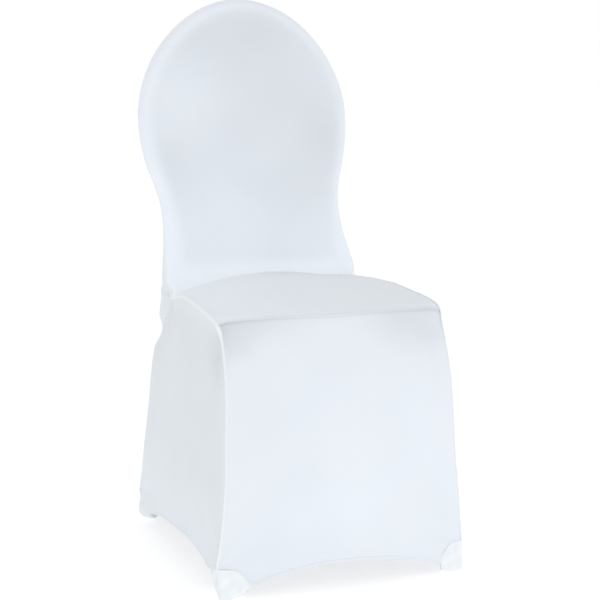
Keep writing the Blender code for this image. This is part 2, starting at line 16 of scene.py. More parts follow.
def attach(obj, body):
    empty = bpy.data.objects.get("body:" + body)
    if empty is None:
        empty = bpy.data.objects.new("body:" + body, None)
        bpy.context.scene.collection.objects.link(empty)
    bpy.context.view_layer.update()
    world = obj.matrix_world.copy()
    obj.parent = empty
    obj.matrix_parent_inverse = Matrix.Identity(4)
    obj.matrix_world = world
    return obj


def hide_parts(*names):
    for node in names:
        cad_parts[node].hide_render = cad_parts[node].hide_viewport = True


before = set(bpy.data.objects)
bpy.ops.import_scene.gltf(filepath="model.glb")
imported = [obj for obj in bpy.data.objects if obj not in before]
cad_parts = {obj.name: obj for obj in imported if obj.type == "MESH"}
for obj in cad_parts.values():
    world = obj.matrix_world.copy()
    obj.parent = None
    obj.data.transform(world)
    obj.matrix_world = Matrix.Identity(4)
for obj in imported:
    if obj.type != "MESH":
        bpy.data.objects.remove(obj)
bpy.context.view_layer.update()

bl_info = {
    "name": "Banquet Chair Cover",
    "version": (1, 0, 0),
    "blender": (4, 5, 0),
    "location": "View3D > Sidebar > Chair Cover",
    "description": "Makes the cloth of a fitted banquet chair cover with a round hood",
    "category": "Object",
}

# Gaps, and how the panels turn beside their seams.
SEAM_GAP = 0.0003
POCKET_GAP = 0.0005
EDGE_MARGIN = 0.001
TABLE_MIDDLE = Vector((0.0, 0.0356, 0.0))  # middle of the cover, in the tables' places
SIDEWAYS = Vector((1.0, 0.0, 0.0))
SIDES = (("right", 1.0), ("left", -1.0))
DIRECTION_STEP = 0.1        # rows on both sides of a place that give a seam's direction there
LARGEST_TURN = 0.9          # largest share of half a panel that the turn beside a seam takes
SQUAREST_WRAP = 0.45
CROWN_ROWS = 9
SIDE_ROLL = 0.012

# The round top of the hood, and the arched hems of the front and back.
HOOD_HALF_WIDTH = 0.201
HOOD_CENTRE_Z = 0.735
HOOD_RISE = 0.220
HOOD_ROUNDNESS = 1.9
HOOD_LEAN = 0.139
ARCH_HEIGHT = 0.038
ARCH_HALF_WIDTH = 0.193
ARCH_POWER = 2.4


def table(kind, rows):
    """Rows of a table, each with its named columns."""
    return [kind(*row) for row in rows]


# A seam row gives the seam's half width, its y and z, the radius of the turn that the cloth makes
# beside it, the seam's place in that turn (0 faces sideways, 90 faces the panel's way), and the way
# the panel faces there (0 is to the front, 90 is up, 180 is to the rear), in degrees.
SeamRow = namedtuple("SeamRow", "half_width y z roll turn facing")
MAIN_SEAM = table(SeamRow, (
    (0.2140, -0.2290, 0.0500, 0.010, 45, 0),   # top of the front pocket
    (0.2092, -0.2320, 0.0850, 0.010, 45, 0),
    (0.2042, -0.2342, 0.1300, 0.010, 45, 0),
    (0.1985, -0.2336, 0.1950, 0.010, 45, 2),
    (0.1963, -0.2300, 0.2600, 0.010, 45, 4),
    (0.1942, -0.2252, 0.3200, 0.010, 45, 8),
    (0.1928, -0.2168, 0.3600, 0.011, 45, 16),  # bulge over the front leg
    (0.1914, -0.2006, 0.4000, 0.016, 45, 28),
    (0.1920, -0.1890, 0.4190, 0.024, 45, 38),
    (0.1940, -0.1800, 0.4300, 0.030, 45, 50),  # front corner of the seat
    (0.1955, -0.1670, 0.4370, 0.028, 45, 68),
    (0.1965, -0.1420, 0.4420, 0.020, 45, 82),
    (0.1960, -0.1050, 0.4458, 0.015, 45, 86),
    (0.1950, -0.0550, 0.4490, 0.014, 45, 88),
    (0.1930, -0.0050, 0.4505, 0.014, 45, 90),  # highest point of the seat's side
    (0.1895, 0.0430, 0.4455, 0.014, 45, 93),
    (0.1855, 0.0860, 0.4370, 0.014, 36, 93),
    (0.1800, 0.1220, 0.4295, 0.014, 20, 80),   # rear corner of the seat
    (0.1775, 0.1440, 0.4335, 0.013, 28, 50),
    (0.1775, 0.1570, 0.4440, 0.012, 36, 28),
    (0.1790, 0.1660, 0.4600, 0.012, 40, 17),
    (0.1765, 0.1800, 0.4880, 0.013, 38, 17),
    (0.1718, 0.2030, 0.5320, 0.018, 16, 18),   # waist of the hood
    (0.1712, 0.2225, 0.5780, 0.022, 2, 17),
    (0.1785, 0.2380, 0.6170, 0.022, 0, 14),
    (0.1905, 0.2478, 0.6560, 0.022, 0, 11),
    (0.1985, 0.2545, 0.6960, 0.022, 0, 10),
    (0.2010, 0.2605, 0.7350, 0.022, 0, 9),     # widest row of the hood
))
REAR_SEAM = table(SeamRow, (
    (0.2075, 0.2720, 0.0500, 0.010, 45, 166),  # top of the rear pocket
    (0.2053, 0.2600, 0.0870, 0.010, 45, 166),
    (0.2028, 0.2460, 0.1370, 0.010, 45, 165),
    (0.2005, 0.2310, 0.1950, 0.010, 45, 165),
    (0.1990, 0.2160, 0.2500, 0.010, 45, 166),
    (0.1975, 0.2010, 0.3000, 0.011, 45, 170),
    (0.1945, 0.1830, 0.3440, 0.013, 35, 180),  # shoulder over the rear leg
    (0.1895, 0.1650, 0.3710, 0.016, 20, 186),
    (0.1840, 0.1430, 0.4020, 0.016, 8, 188),
    (0.1800, 0.1220, 0.4295, 0.016, 0, 186),   # rear corner of the seat
))
SEAT_FRONT_ROW = 9
SEAT_REAR_ROW = 17
WIDEST_ROW = len(MAIN_SEAM) - 1
LAST_ROW = WIDEST_ROW + CROWN_ROWS
REAR_LAST = len(REAR_SEAM) - 1

# The middle line of a panel, paired row by row with its seam. The back panel's rows also give how
# deep the cloth wraps round the side of the hood, and the way that the rear face faces.
FrontMiddle = namedtuple("FrontMiddle", "y z")
FRONT_MIDDLE = table(FrontMiddle, (
    (-0.2310, 0.0390),
    (-0.2325, 0.0850),
    (-0.2338, 0.1300),
    (-0.2345, 0.1950),
    (-0.2325, 0.2600),
    (-0.2268, 0.3200),
    (-0.2198, 0.3600),
    (-0.2108, 0.4000),
    (-0.2055, 0.4210),
    (-0.2012, 0.4380),  # crease along the seat's front edge
    (-0.1960, 0.4434),
    (-0.1700, 0.4490),
    (-0.1200, 0.4560),
    (-0.0600, 0.4620),
    (0.0000, 0.4660),
    (0.0560, 0.4685),
    (0.1000, 0.4690),
    (0.1310, 0.4695),   # foot of the cove between the seat and the hood
    (0.1490, 0.4740),
    (0.1600, 0.4830),
    (0.1670, 0.4960),
    (0.1750, 0.5180),
    (0.1890, 0.5500),
    (0.2050, 0.5850),
    (0.2190, 0.6200),
    (0.2285, 0.6560),
    (0.2355, 0.6960),
    (0.2420, 0.7350),   # centre of the hood's round top
))
BackMiddle = namedtuple("BackMiddle", "y z wrap facing")
BACK_MIDDLE = table(BackMiddle, (
    (0.2765, 0.0390, 0.000, 166),
    (0.2645, 0.0870, 0.000, 166),
    (0.2490, 0.1370, 0.000, 165),
    (0.2350, 0.1950, 0.000, 165),
    (0.2235, 0.2500, 0.000, 168),
    (0.2150, 0.3000, 0.004, 174),
    (0.2160, 0.3440, 0.025, 180),
    (0.2220, 0.3740, 0.050, 184),
    (0.2290, 0.4020, 0.077, 184),
    (0.2330, 0.4280, 0.101, 178),   # from here up beside the main seam
    (0.2300, 0.4460, 0.078, 174),
    (0.2250, 0.4600, 0.060, 176),
    (0.2205, 0.4760, 0.046, 184),
    (0.2225, 0.5050, 0.036, 192),
    (0.2335, 0.5450, 0.028, 197),
    (0.2465, 0.5850, 0.023, 197),
    (0.2600, 0.6220, 0.022, 194),
    (0.2700, 0.6570, 0.022, 191),
    (0.2770, 0.6960, 0.022, 190),
    (0.2830, 0.7350, 0.022, 189),
))

# The lower edge of the side panel, from the front pocket to the rear pocket, and how far it is drawn
# in from the line between the two.
HemPoint = namedtuple("HemPoint", "y z inset")
SIDE_HEM = table(HemPoint, (
    (-0.2290, 0.0500, 0.0000),
    (-0.2000, 0.0430, 0.0050),
    (-0.1664, 0.0335, 0.0075),  # end of the front pocket
    (-0.1400, 0.0400, 0.0075),
    (-0.1080, 0.0450, 0.0070),
    (-0.0450, 0.0475, 0.0060),
    (0.0180, 0.0455, 0.0050),
    (0.0810, 0.0415, 0.0045),
    (0.1440, 0.0335, 0.0040),
    (0.2070, 0.0240, 0.0020),   # end of the rear pocket
    (0.2400, 0.0390, 0.0000),
    (0.2720, 0.0500, 0.0000),
))
FRONT_POCKET_END = 2
REAR_POCKET_END = -3
# The upper edge of a pocket on the front or rear face, and its lower edges on the face and on the
# side, by the distance from the corner. The last row of a lower edge is the pocket's tip.
EdgePoint = namedtuple("EdgePoint", "along z")
LEFT_POCKET_TOP = table(EdgePoint, (
    (0.000, 0.0500),
    (0.030, 0.0450),
    (0.057, 0.0185),
))
RIGHT_POCKET_TOP = table(EdgePoint, (
    (0.000, 0.0500),
    (0.023, 0.0465),
    (0.036, 0.0240),
    (0.041, 0.0090),
    (0.056, 0.0185),
))
LEFT_POCKET_FOOT = table(EdgePoint, (
    (0.000, 0.0000),
    (0.015, 0.0000),
    (0.035, 0.0075),
    (0.057, 0.0165),
))
RIGHT_POCKET_FOOT = table(EdgePoint, (
    (0.000, 0.0000),
    (0.021, 0.0010),
    (0.041, 0.0080),
))
FRONT_SIDE_FOOT = table(EdgePoint, (
    (0.000, 0.0000),
    (0.030, 0.0000),
    (0.045, 0.0070),
    (0.060, 0.0230),
))
REAR_SIDE_FOOT = table(EdgePoint, (
    (0.000, 0.0000),
    (0.024, 0.0000),
    (0.065, 0.0170),
))
FRONT_FOOT_LEAN = Vector((-0.0016, -0.0073))
REAR_FOOT_LEAN = Vector((0.0005, 0.0110))
POCKET_EDGE_ROUND = 0.004
POCKET_END_WIDTH = 0.002
POCKET_INNER_HEIGHT = 0.55

# Places where the cloth is drawn in or stands higher on one side only. Each fades out over the
# reach from its centre; the centre's y counts as in the other tables.
Push = namedtuple("Push", "x y z reach_x reach_y reach_z by_x by_y by_z")
PUSHES = table(Push, (
    (0.180, 0.130, 0.440, 0.100, 0.160, 0.090, 0.000, 0.000, 0.012),     # right rear of the seat
    (-0.168, -0.198, 0.408, 0.036, 0.045, 0.030, 0.003, 0.008, -0.001),  # left end of the crease
    (-0.197, -0.165, 0.400, 0.030, 0.032, 0.040, 0.004, 0.001, 0.000),   # side, below its corner
    (0.165, -0.198, 0.413, 0.042, 0.040, 0.026, 0.000, 0.005, -0.001),   # right end of the crease
    (-0.180, 0.168, 0.432, 0.030, 0.030, 0.032, 0.004, 0.000, 0.000),    # dimple behind the seat
    (-0.195, 0.211, 0.361, 0.060, 0.090, 0.032, 0.010, -0.003, 0.000),   # notch below that dimple
))

# How the points of the sheets and bands are spread.
SEAM_CLOSENESS = 0.6        # spacing of a seam band's stations, as a share of the cloth's spacing
NEAR_PLACES = (0.0010, 0.0022, 0.0038, 0.0058, 0.0082, 0.0112, 0.0150, 0.0200)
NEAR_LEAST = 0.0008
LEAST_STEPS = 4
SIDE_HEIGHT = 0.39
SIDE_LENGTH = 0.50
SIDE_ROLL_START = 45.0
# The foot pockets.
WALL_STEPS = 7
POCKET_ROUND_SHARE = 0.35
POCKET_TUCK_SHARE = 0.3
ROUND_STEPS = 3
POCKET_CREASE = 0.0020
POCKET_CREASE_MIDDLE = 0.010
POCKET_CREASE_REACH = 0.018
POCKET_THIN = 1.2
# Even painted shade on the rear pockets, so that they are darker than the front ones.
REAR_POCKET_SHADE = 1.1
FLOOR_FADE = 0.006          # height below which a pocket's creases fade, so that it stands flat
# Merged points and sharp edges of the meshes.
MERGE_DISTANCE = 0.00001
SHARP_ANGLE = 50.0
# The bands over the seams.
BAND_SIDES = 10
BAND_THICKNESS_SHARE = 0.45
BAND_LEAST = 0.0004
BAND_SPREAD = ((0.0008, 0.9), (0.0016, 1.0), (0.0026, 1.75))  # share of a band's width, by its height
EDGE_RISE_SHARE = 0.55
SEAM_WIDTH = 0.0042
SEAM_UNEVENNESS = 0.25
POCKET_SEAM_WIDTH = 0.0030
POCKET_SEAM_HEIGHT = 0.0008
# The crease along the seat's front edge, and the cove at the foot of the hood.
CREASE_WIDTH = 0.0030
CREASE_TOP_WIDTH = 0.0016
CREASE_REACH = 0.011        # how far the hollow below the crease reaches at the middle
CREASE_REACH_END = 0.024    # and at the crease's ends
CREASE_HALF = 0.170
CREASE_FADE = 1.3
COVE_WIDTH = 0.0045
# The waves of the cloth, and the dished front of the hood.
CLOTH_WAVINESS = 0.0016
HOOD_WAVINESS = 0.55
HOOD_FOOT_Z = 0.52
HOOD_DISH = 0.0026
HOOD_BAND = 0.020
HOOD_GROOVE = 0.012
HOOD_PAD = 0.080
HOOD_BAND_HEIGHTS = ((0.600, 0.0), (0.720, 0.8), (0.880, 1.0))
# Painted shade of the cloth, standing in for how the light falls on it, at heights, at places across the
# cover and at distances from its edges: it is darker above 0, and brighter below it.
HOOD_SHADE_HEIGHTS = ((0.468, -2.0), (0.498, -0.6), (0.640, 0.75), (0.900, 1.0))
HOOD_RIM_SHADE = ((-0.100, -0.75), (0.060, -0.25))
HOOD_FOOT_SHADE = ((0.470, -1.3), (0.600, -0.4), (0.700, 0.0))
PATCH_FALL = 2.0
HOOD_SHADE_EDGE = ((0.018, 0.0), (0.045, 1.0))
CREASE_SHADE = ((-0.197, 0.4), (-0.180, 0.6), (-0.120, 0.6), (-0.060, 0.3), (0.060, 0.2),
               (0.120, 0.4), (0.170, 0.7), (0.196, 0.3))
CREASE_SHADE_REACH = ((-0.195, 0.020), (-0.120, 0.014), (0.000, 0.010), (0.100, 0.014), (0.180, 0.020))
CREASE_DARK = 0.2
LIP_SHADE = 2.0
LIP_MIDDLE = 0.0018
LIP_WIDTH = 0.0045
LIP_WIDTH_BELOW = 0.0028
COVE_SHADE = 2.2
COVE_SHADE_REACH = 0.060
COVE_SHADE_PLACE = ((-0.080, 0.0), (0.040, 1.0), (0.150, 0.6))
SEAT_SHADE = ((-0.180, -0.8), (0.000, -0.1), (0.190, 0.3))
SKIRT_SHADE = 0.35
SIDE_SHADE_HEIGHTS = ((0.060, 0.5), (0.200, 1.2), (0.400, 1.4))
SIDE_SHADE_EDGE = 0.030
SIDE_SHADE_START = 0.6
# Parts of a side with painted shade: beside the front seam, high up and just above the foot.
SidePatch = namedtuple("SidePatch", "y z reach_y reach_z depth")
SIDE_SHADE_PATCHES = table(SidePatch, (
    (-0.224, 0.398, 0.026, 0.045, 1.5),
    (-0.262, 0.095, 0.010, 0.040, 1.1),
))
RIGHT_SIDE_SHARE = 0.3
# Even painted shade over the whole back cloth.
BACK_SHADE = 0.4
# How strongly the painted shade darkens the cloth's colour.
PAINTED_SHADE_STRENGTH = 0.065
HOLLOW_EDGE = 0.020

# Places where the cloth is pulled, how many drag lines fan out from them, how far they reach and
# how high they stand, after the cover is moved to its own middle.
Drag = namedtuple("Drag", "x y z lines reach height")
DRAGS = table(Drag, (
    (-0.214, -0.265, 0.050, 9.0, 0.20, 0.0009),
    (0.214, -0.265, 0.050, 8.0, 0.18, 0.0008),
    (-0.207, 0.236, 0.050, 9.0, 0.22, 0.0011),
    (0.207, 0.236, 0.050, 9.0, 0.20, 0.0009),
    (-0.180, 0.086, 0.430, 10.0, 0.13, 0.0010),
    (0.180, 0.086, 0.430, 9.0, 0.10, 0.0006),
))

# The knit, the stitches, and the tones and sheens of the cloth.
KNIT_PITCH = 0.0011
RIB_SHARE = 0.5
KNIT_HEIGHT = 0.00004
KNIT_STRENGTH = 0.6
TONE_SCALE = 7.0
ROUGHNESS_LOW = 0.78
ROUGHNESS_SPREAD = 0.12
STITCH_LENGTH = 0.0032
STITCH_WIDTH = 0.0008
STITCH_SPACE = -0.2
STITCH_DEPTH = 0.0002
PUCKER_SCALE = 260.0
PUCKER_HEIGHT = 0.00015
TONE_DETAIL = 3.0
CLOTH_SPECULAR = 0.25
SHEEN_ROUGHNESS = 0.5
CLOTH_SHEEN = 0.35
POCKET_SHEEN = 0.2
BAND_SHEEN = 0.3
CLOTH_TONE = (0.80, 0.85, 0.91)
CLOTH_TONE_SOFT = (0.83, 0.875, 0.925)
POCKET_TONE = (0.88, 0.91, 0.94)
POCKET_TONE_SOFT = (0.85, 0.89, 0.925)
# The seam bands are lighter than the cloth: a painted highlight along the raised seams.
BAND_HIGHLIGHT_TONE = (0.91, 0.93, 0.95)
# The stage.
FLOOR_SIZE = 40.0
FLOOR_TONE = (0.45, 0.45, 0.45)
FLOOR_TONE_SOFT = (0.43, 0.43, 0.43)
FLOOR_GLOW = 0.66
FLOOR_ROUGHNESS = 0.95
FLOOR_SCALE = 2.0
WHITE = (1.0, 1.0, 1.0, 1.0)
KEY_PLACE = (0.45, -1.55, 0.28)
KEY_AIM = (0.0, -0.2, 0.26)
KEY_SIZE = 1.0
FILL_PLACE = (-1.0, -0.35, 0.5)
FILL_ANGLE = 1.2
# The camera's place, its turns in degrees, and the width of its sensor in millimetres.
CAMERA_PLACE = (-0.906, -2.4946, 0.844)
CAMERA_YAW = 20.48
CAMERA_PITCH = 8.86
CAMERA_ROLL = -0.12
SENSOR_WIDTH = 36.0

# Places of the points across the turn beside a seam, and how the points are spread across the rest.
ROLL_PLACES = (0.0, 0.04, 0.09, 0.15, 0.22, 0.30, 0.40, 0.51, 0.63, 0.75, 0.87, 1.0)
FLAT_COUNT = 26
FLAT_START = 0.75
HEM_STEPS = 18
HEM_CLOSENESS = 1.6
HEM_BLEND = 0.014
CREASE_ROWS = (8, 9, 17, 18)
FINE_STEP = 0.0022
# The turned-up hem.
OPEN_HEM = 0.042            # distance from the corner where the open hem starts
HEM_DEPTH = 0.0042
HEM_HEIGHT = 0.0004
HEM_GROOVE = 0.00015
HEM_FLAT_SHARE = 0.6        # where the hem starts to fall, as a share of its depth
HEM_SEWN_SHARE = 1.3        # where its top edge is sewn
HEM_GROOVE_SHARE = 0.4

# Height of the cloth beside a seam: how wide its raised edge is, and the valley and puckers past it.
RIDGE_WIDTH = 0.0028
VALLEY_SHARE = 0.30
VALLEY_MIDDLE = 0.0075
VALLEY_WIDTH = 0.0045
PUCKER_MIDDLE = 0.006
PUCKER_RISE = 0.00016
# The shape of a drag line.
DRAG_MIDDLE = 0.3           # where a drag line is highest, and how wide it is, as shares of its reach
DRAG_WIDTH = 0.32
DRAG_CHANGE = 1.7
# Small ripples along a seam: their length, how much, how slowly and from where their spacing
# wanders, and how slowly, from where and from what share their strength changes.
Ripples = namedtuple("Ripples", "length wander wander_length seed change_length change_seeds evenness")
SEAM_PUCKERS = Ripples(0.0052, 3.0, 0.03, 1.0, 0.06, (1.0, 7.0), 0.5)
POCKET_CREASES = Ripples(0.0075, 2.5, 0.02, 4.0, 0.03, (9.0, 0.0), 0.6)
# Soft waves and clouds: the size of their features and the place in the noise where they start.
Cloud = namedtuple("Cloud", "size seed")
LARGE_WAVE = Cloud(0.11, 3.0)
SMALL_WAVE = Cloud(0.035, 8.0)
SMALL_WAVE_SHARE = 0.35
SEAM_CLOUD = Cloud(0.012, 2.0)
POCKET_WAVE = Cloud(0.022, 11.0)
POCKET_WAVE_HEIGHT = 0.0008
POCKET_CLOUD = Cloud(0.014, 6.0)
FRONT_CLOUD = Cloud(0.075, 21.0)
SIDE_CLOUD = Cloud(0.08, 31.0)
HOOD_CLOUD_SHARE = 0.25
SEAT_CLOUD_SHARE = 0.15
SKIRT_CLOUD_SHARE = 0.22
SIDE_CLOUD_SHARE = 0.2

# The flat size that each piece is cut to before it is stretched: width, length and area.
Cut = namedtuple("Cut", "width length area")
POCKET_CUT = Cut(0.13, 0.09, 0.0081)
SMALL_POCKET_CUT = Cut(0.10, 0.09, 0.0064)

# The foot pockets: their side, the tables of their edges, the lean of their feet and their cut.
Pocket = namedtuple("Pocket", "place at_front side top foot side_foot lean cut")
POCKETS = table(Pocket, (
    ("front_right", True, 1.0, RIGHT_POCKET_TOP, RIGHT_POCKET_FOOT, FRONT_SIDE_FOOT, FRONT_FOOT_LEAN,
     SMALL_POCKET_CUT),
    ("front_left", True, -1.0, LEFT_POCKET_TOP, LEFT_POCKET_FOOT, FRONT_SIDE_FOOT, FRONT_FOOT_LEAN,
     POCKET_CUT),
    ("rear_right", False, 1.0, LEFT_POCKET_TOP, LEFT_POCKET_FOOT, REAR_SIDE_FOOT, REAR_FOOT_LEAN,
     POCKET_CUT),
    ("rear_left", False, -1.0, LEFT_POCKET_TOP, LEFT_POCKET_FOOT, REAR_SIDE_FOOT, REAR_FOOT_LEAN,
     POCKET_CUT),
))
# The finishes: two tones, the sheen, whether knitted or puckered and how high, and whether stitched.
Finish = namedtuple("Finish", "tone soft_tone sheen knitted rise stitched")
FINISHES = {
    "white stretch knit": Finish(CLOTH_TONE, CLOTH_TONE_SOFT, CLOTH_SHEEN, True, KNIT_HEIGHT, True),
    "white pocket cloth": Finish(POCKET_TONE, POCKET_TONE_SOFT, POCKET_SHEEN, True, KNIT_HEIGHT / 2.0,
                                 False),
    "seam band with painted highlight": Finish(BAND_HIGHLIGHT_TONE, POCKET_TONE, BAND_SHEEN, False, PUCKER_HEIGHT, False),
}

# How high the seam stands along the main seam's rows and along the rear seam's rows.
RidgePoint = namedtuple("RidgePoint", "row height")
MAIN_RIDGE = table(RidgePoint, (
    (0.0, 0.0016),
    (2.0, 0.0014),
    (3.5, 0.0008),
    (5.5, 0.0007),
    (7.0, 0.0018),
    (9.0, 0.0025),    # front corner of the seat
    (13.0, 0.0024),
    (16.0, 0.0020),
    (18.5, 0.0010),
    (22.0, 0.0007),
    (36.0, 0.0007),   # top of the hood
))
REAR_RIDGE = table(RidgePoint, (
    (0.0, 0.0012),
    (5.0, 0.0010),
    (9.0, 0.0014),
))

# Depth of the crease along the seat's front edge, by the distance across the cover.
CreasePoint = namedtuple("CreasePoint", "x depth")
SEAT_CREASE = table(CreasePoint, (
    (-0.196, 0.0004),
    (-0.178, 0.0020),
    (-0.120, 0.0024),
    (-0.050, 0.0024),
    (0.040, 0.0020),
    (0.110, 0.0028),
    (0.175, 0.0030),
    (0.196, 0.0006),
))
# Depth of the groove where the seat meets the hood, by the distance from the middle.
COVE_CREASE = table(CreasePoint, (
    (0.000, 0.0020),
    (0.140, 0.0018),
    (0.176, 0.0003),
))

# Soft hollows and swellings of the skirt's front; a depth below 0 stands out.
Hollow = namedtuple("Hollow", "x z reach_x reach_z depth")
SKIRT_HOLLOWS = table(Hollow, (
    (-0.165, 0.404, 0.050, 0.036, -0.0030),  # under the left end of the crease
    (0.135, 0.406, 0.080, 0.045, 0.0018),    # under the right end of the crease
    (-0.020, 0.240, 0.150, 0.120, -0.0018),
    (0.060, 0.110, 0.120, 0.060, -0.0016),
    (-0.110, 0.180, 0.070, 0.080, 0.0012),
    (0.140, 0.210, 0.060, 0.110, 0.0014),
))

# Soft patches of painted shade on the skirt and the hood, darker where above 0 and painted lighter where
# below 0.
SKIRT_SHADE_PATCHES = table(Hollow, (
    (-0.186, 0.424, 0.054, 0.052, 1.7),   # beside the left end of the crease
    (-0.140, 0.430, 0.080, 0.024, 0.5),
    (0.124, 0.425, 0.085, 0.052, 1.5),    # under the right end of the crease
    (0.165, 0.385, 0.040, 0.080, 0.3),
    (0.020, 0.130, 0.110, 0.060, -0.5),
))
HOOD_SHADE_PATCHES = table(Hollow, (
    (0.000, 0.890, 0.150, 0.060, 0.8),
    (0.050, 0.780, 0.110, 0.140, 0.5),
    (0.150, 0.710, 0.070, 0.080, 1.1),
    (-0.145, 0.680, 0.040, 0.060, 0.5),
    (-0.140, 0.775, 0.090, 0.110, -0.8),
    (-0.058, 0.590, 0.120, 0.080, -0.6),
    (0.100, 0.590, 0.080, 0.090, 0.4),
))

SeamFrame = namedtuple("SeamFrame", "point normal across roll turn facing")


def facing_vector(degrees):
    """Unit vector in the plane of symmetry: 0 degrees faces the front and 90 faces up."""
    angle = math.radians(degrees)
    return Vector((0.0, -math.cos(angle), math.sin(angle)))


def flipped(vector):
    """The same place or direction on the other side of the plane of symmetry."""
    return Vector((-vector.x, vector.y, vector.z))


def mirrored(points):
    """The same points on the other side of the plane of symmetry."""
    return [flipped(point) for point in points]


def reversed_rows(rows):
    """Rows of a grid, each from its last value to its first."""
    return [row[::-1] for row in rows]


def transposed(rows):
    """Columns of a grid as rows."""
    return [list(column) for column in zip(*rows)]


def joined(one, other):
    """Values of one side, and then those of the other from the middle that they share."""
    return one + other[-2::-1]


def spline_values(before, low, high, after, part):
    """Values on a smooth curve through four rows, part of the way from the second to the third."""
    square = part * part
    cube = square * part
    return [
        0.5 * (2.0 * b + (c - a) * part + (2.0 * a - 5.0 * b + 4.0 * c - d) * square
               + (3.0 * b - a - 3.0 * c + d) * cube)
        for a, b, c, d in zip(before, low, high, after)
    ]


def between(rows, at):
    """Row of a table at a fractional row number, on a smooth curve through the rows."""
    low = max(min(int(at), len(rows) - 2), 0)
    values = spline_values(rows[max(low - 1, 0)], rows[low], rows[low + 1],
                           rows[min(low + 2, len(rows) - 1)], at - low)
    return type(rows[0])(*values)


def straight_share(distance, start, end):
    """Share of the way from a start to an end, from 0 to 1."""
    return min(max((distance - start) / (end - start), 0.0), 1.0)


def eased_share(distance, start, end):
    """Same as straight_share, with its two ends eased."""
    part = straight_share(distance, start, end)
    return part * part * (3.0 - 2.0 * part)


def value_at(points, distance, share=eased_share):
    """Second column of a table at a value of its first column, such as a height at a distance."""
    for (low, before), (high, after) in zip(points, points[1:]):
        if distance <= high:
            return before + (after - before) * share(distance, low, high)
    return points[-1][1]


def smooth_row_at(rows, value):
    """Row of a table at a value of its first column, on a smooth curve through the rows."""
    low = 0
    while low < len(rows) - 2 and value > rows[low + 1][0]:
        low += 1
    return between(rows, low + straight_share(value, rows[low][0], rows[low + 1][0]))


def hood_outline(at):
    """Point of the hood's round top at a row number past its widest, and the way its edge faces."""
    angle = math.radians(90.0 * (at - WIDEST_ROW) / CROWN_ROWS)
    bulge = 2.0 / HOOD_ROUNDNESS
    x = HOOD_HALF_WIDTH * max(math.cos(angle), 0.0) ** bulge
    rise = HOOD_RISE * math.sin(angle) ** bulge
    point = Vector((x, MAIN_SEAM[WIDEST_ROW].y + HOOD_LEAN * rise, HOOD_CENTRE_Z + rise))
    side = Vector((math.cos(angle) / HOOD_HALF_WIDTH, 0.0, math.sin(angle) / HOOD_RISE)).normalized()
    return point, side


def main_seam_point(at):
    """Point of the main seam at a row number; rows past the widest one go round the hood's top."""
    if at >= WIDEST_ROW:
        return hood_outline(at)[0]
    low = int(at)
    rows = [Vector(row[:3]) for row in MAIN_SEAM[max(low - 1, 0):low + 3]]
    if low == 0:
        rows.insert(0, rows[0])
    if low == WIDEST_ROW - 1:
        rows.append(hood_outline(WIDEST_ROW + 1)[0])
    return Vector(spline_values(*rows, at - low))


def rear_seam_point(at):
    """Point of the rear seam at a row number."""
    return Vector(between(REAR_SEAM, at)[:3])


def seam_direction(point_at, at, last):
    """Step along a seam from just below a row number to just above it."""
    return point_at(min(at + DIRECTION_STEP, last)) - point_at(max(at - DIRECTION_STEP, 0.0))


def seam_turn(row, side):
    """Turn of the cloth at a seam's row, the way its panel faces, and the way the seam faces."""
    turn = math.radians(max(row.turn, 0.0))
    facing = facing_vector(row.facing)
    return turn, facing, (side * math.cos(turn) + facing * math.sin(turn)).normalized()


def main_seam(at):
    """Frame of the right-hand seam between the front panel and its neighbours."""
    row = between(MAIN_SEAM, min(at, WIDEST_ROW))
    side = hood_outline(at)[1] if at > WIDEST_ROW else SIDEWAYS
    turn, facing, normal = seam_turn(row, side)
    direction = -SIDEWAYS if at >= LAST_ROW else seam_direction(main_seam_point, at, LAST_ROW)
    across = normal.cross(direction).normalized()
    return SeamFrame(main_seam_point(at), normal, across, row.roll, turn, facing)


def rear_seam(at):
    """Frame of the right-hand seam between the side panel and the back panel."""
    row = between(REAR_SEAM, at)
    turn, facing, normal = seam_turn(row, SIDEWAYS)
    near_corner = max(at - (REAR_LAST - 1.0), 0.0)
    normal = normal.lerp(main_seam(SEAT_REAR_ROW).normal, near_corner * near_corner).normalized()
    across = seam_direction(rear_seam_point, at, REAR_LAST).cross(normal).normalized()
    return SeamFrame(rear_seam_point(at), normal, across, row.roll, turn, facing)


def pulled(seam, sign):
    """Edge point of a panel beside a seam, half a gap from the seam line."""
    return seam.point + seam.across * (sign * SEAM_GAP / 2.0)


def half_section(start, seam, middle, wrap=0.0):
    """Points across half a panel, from its seam through the turn beside it to the middle line."""
    reach = Vector((0.0, middle.y, middle.z)) - start
    depth = reach.dot(seam.facing)
    level = reach - seam.facing * depth
    sine = math.sin(seam.turn)
    cosine = math.cos(seam.turn)
    round_lift = seam.roll * (1.0 - sine)
    lift = max(wrap, round_lift)
    squareness = max(math.sqrt(round_lift / lift), SQUAREST_WRAP)
    share = min(seam.roll * cosine / max(level.length, seam.roll), LARGEST_TURN)
    places = []
    for turned in ROLL_PLACES:
        steep = turned ** (1.0 / squareness)
        part = steep / (steep + (1.0 - turned) ** (1.0 / squareness))
        angle = seam.turn + (math.pi / 2.0 - seam.turn) * part
        left = max(math.cos(angle) / cosine, 0.0)
        risen = max((math.sin(angle) - sine) / (1.0 - sine), 0.0)
        places.append((share * (1.0 - left ** squareness), lift * risen ** squareness))
    for step in range(1, FLAT_COUNT + 1):
        part = step / FLAT_COUNT
        flat = part * (FLAT_START + (1.0 - FLAT_START) * part)
        places.append((share + (1.0 - share) * flat, lift))
    points = []
    for along, rise in places:
        crown = (depth - lift) * (1.0 - (1.0 - along) ** 2)
        points.append(start + level * along + seam.facing * (rise + crown))
    return points


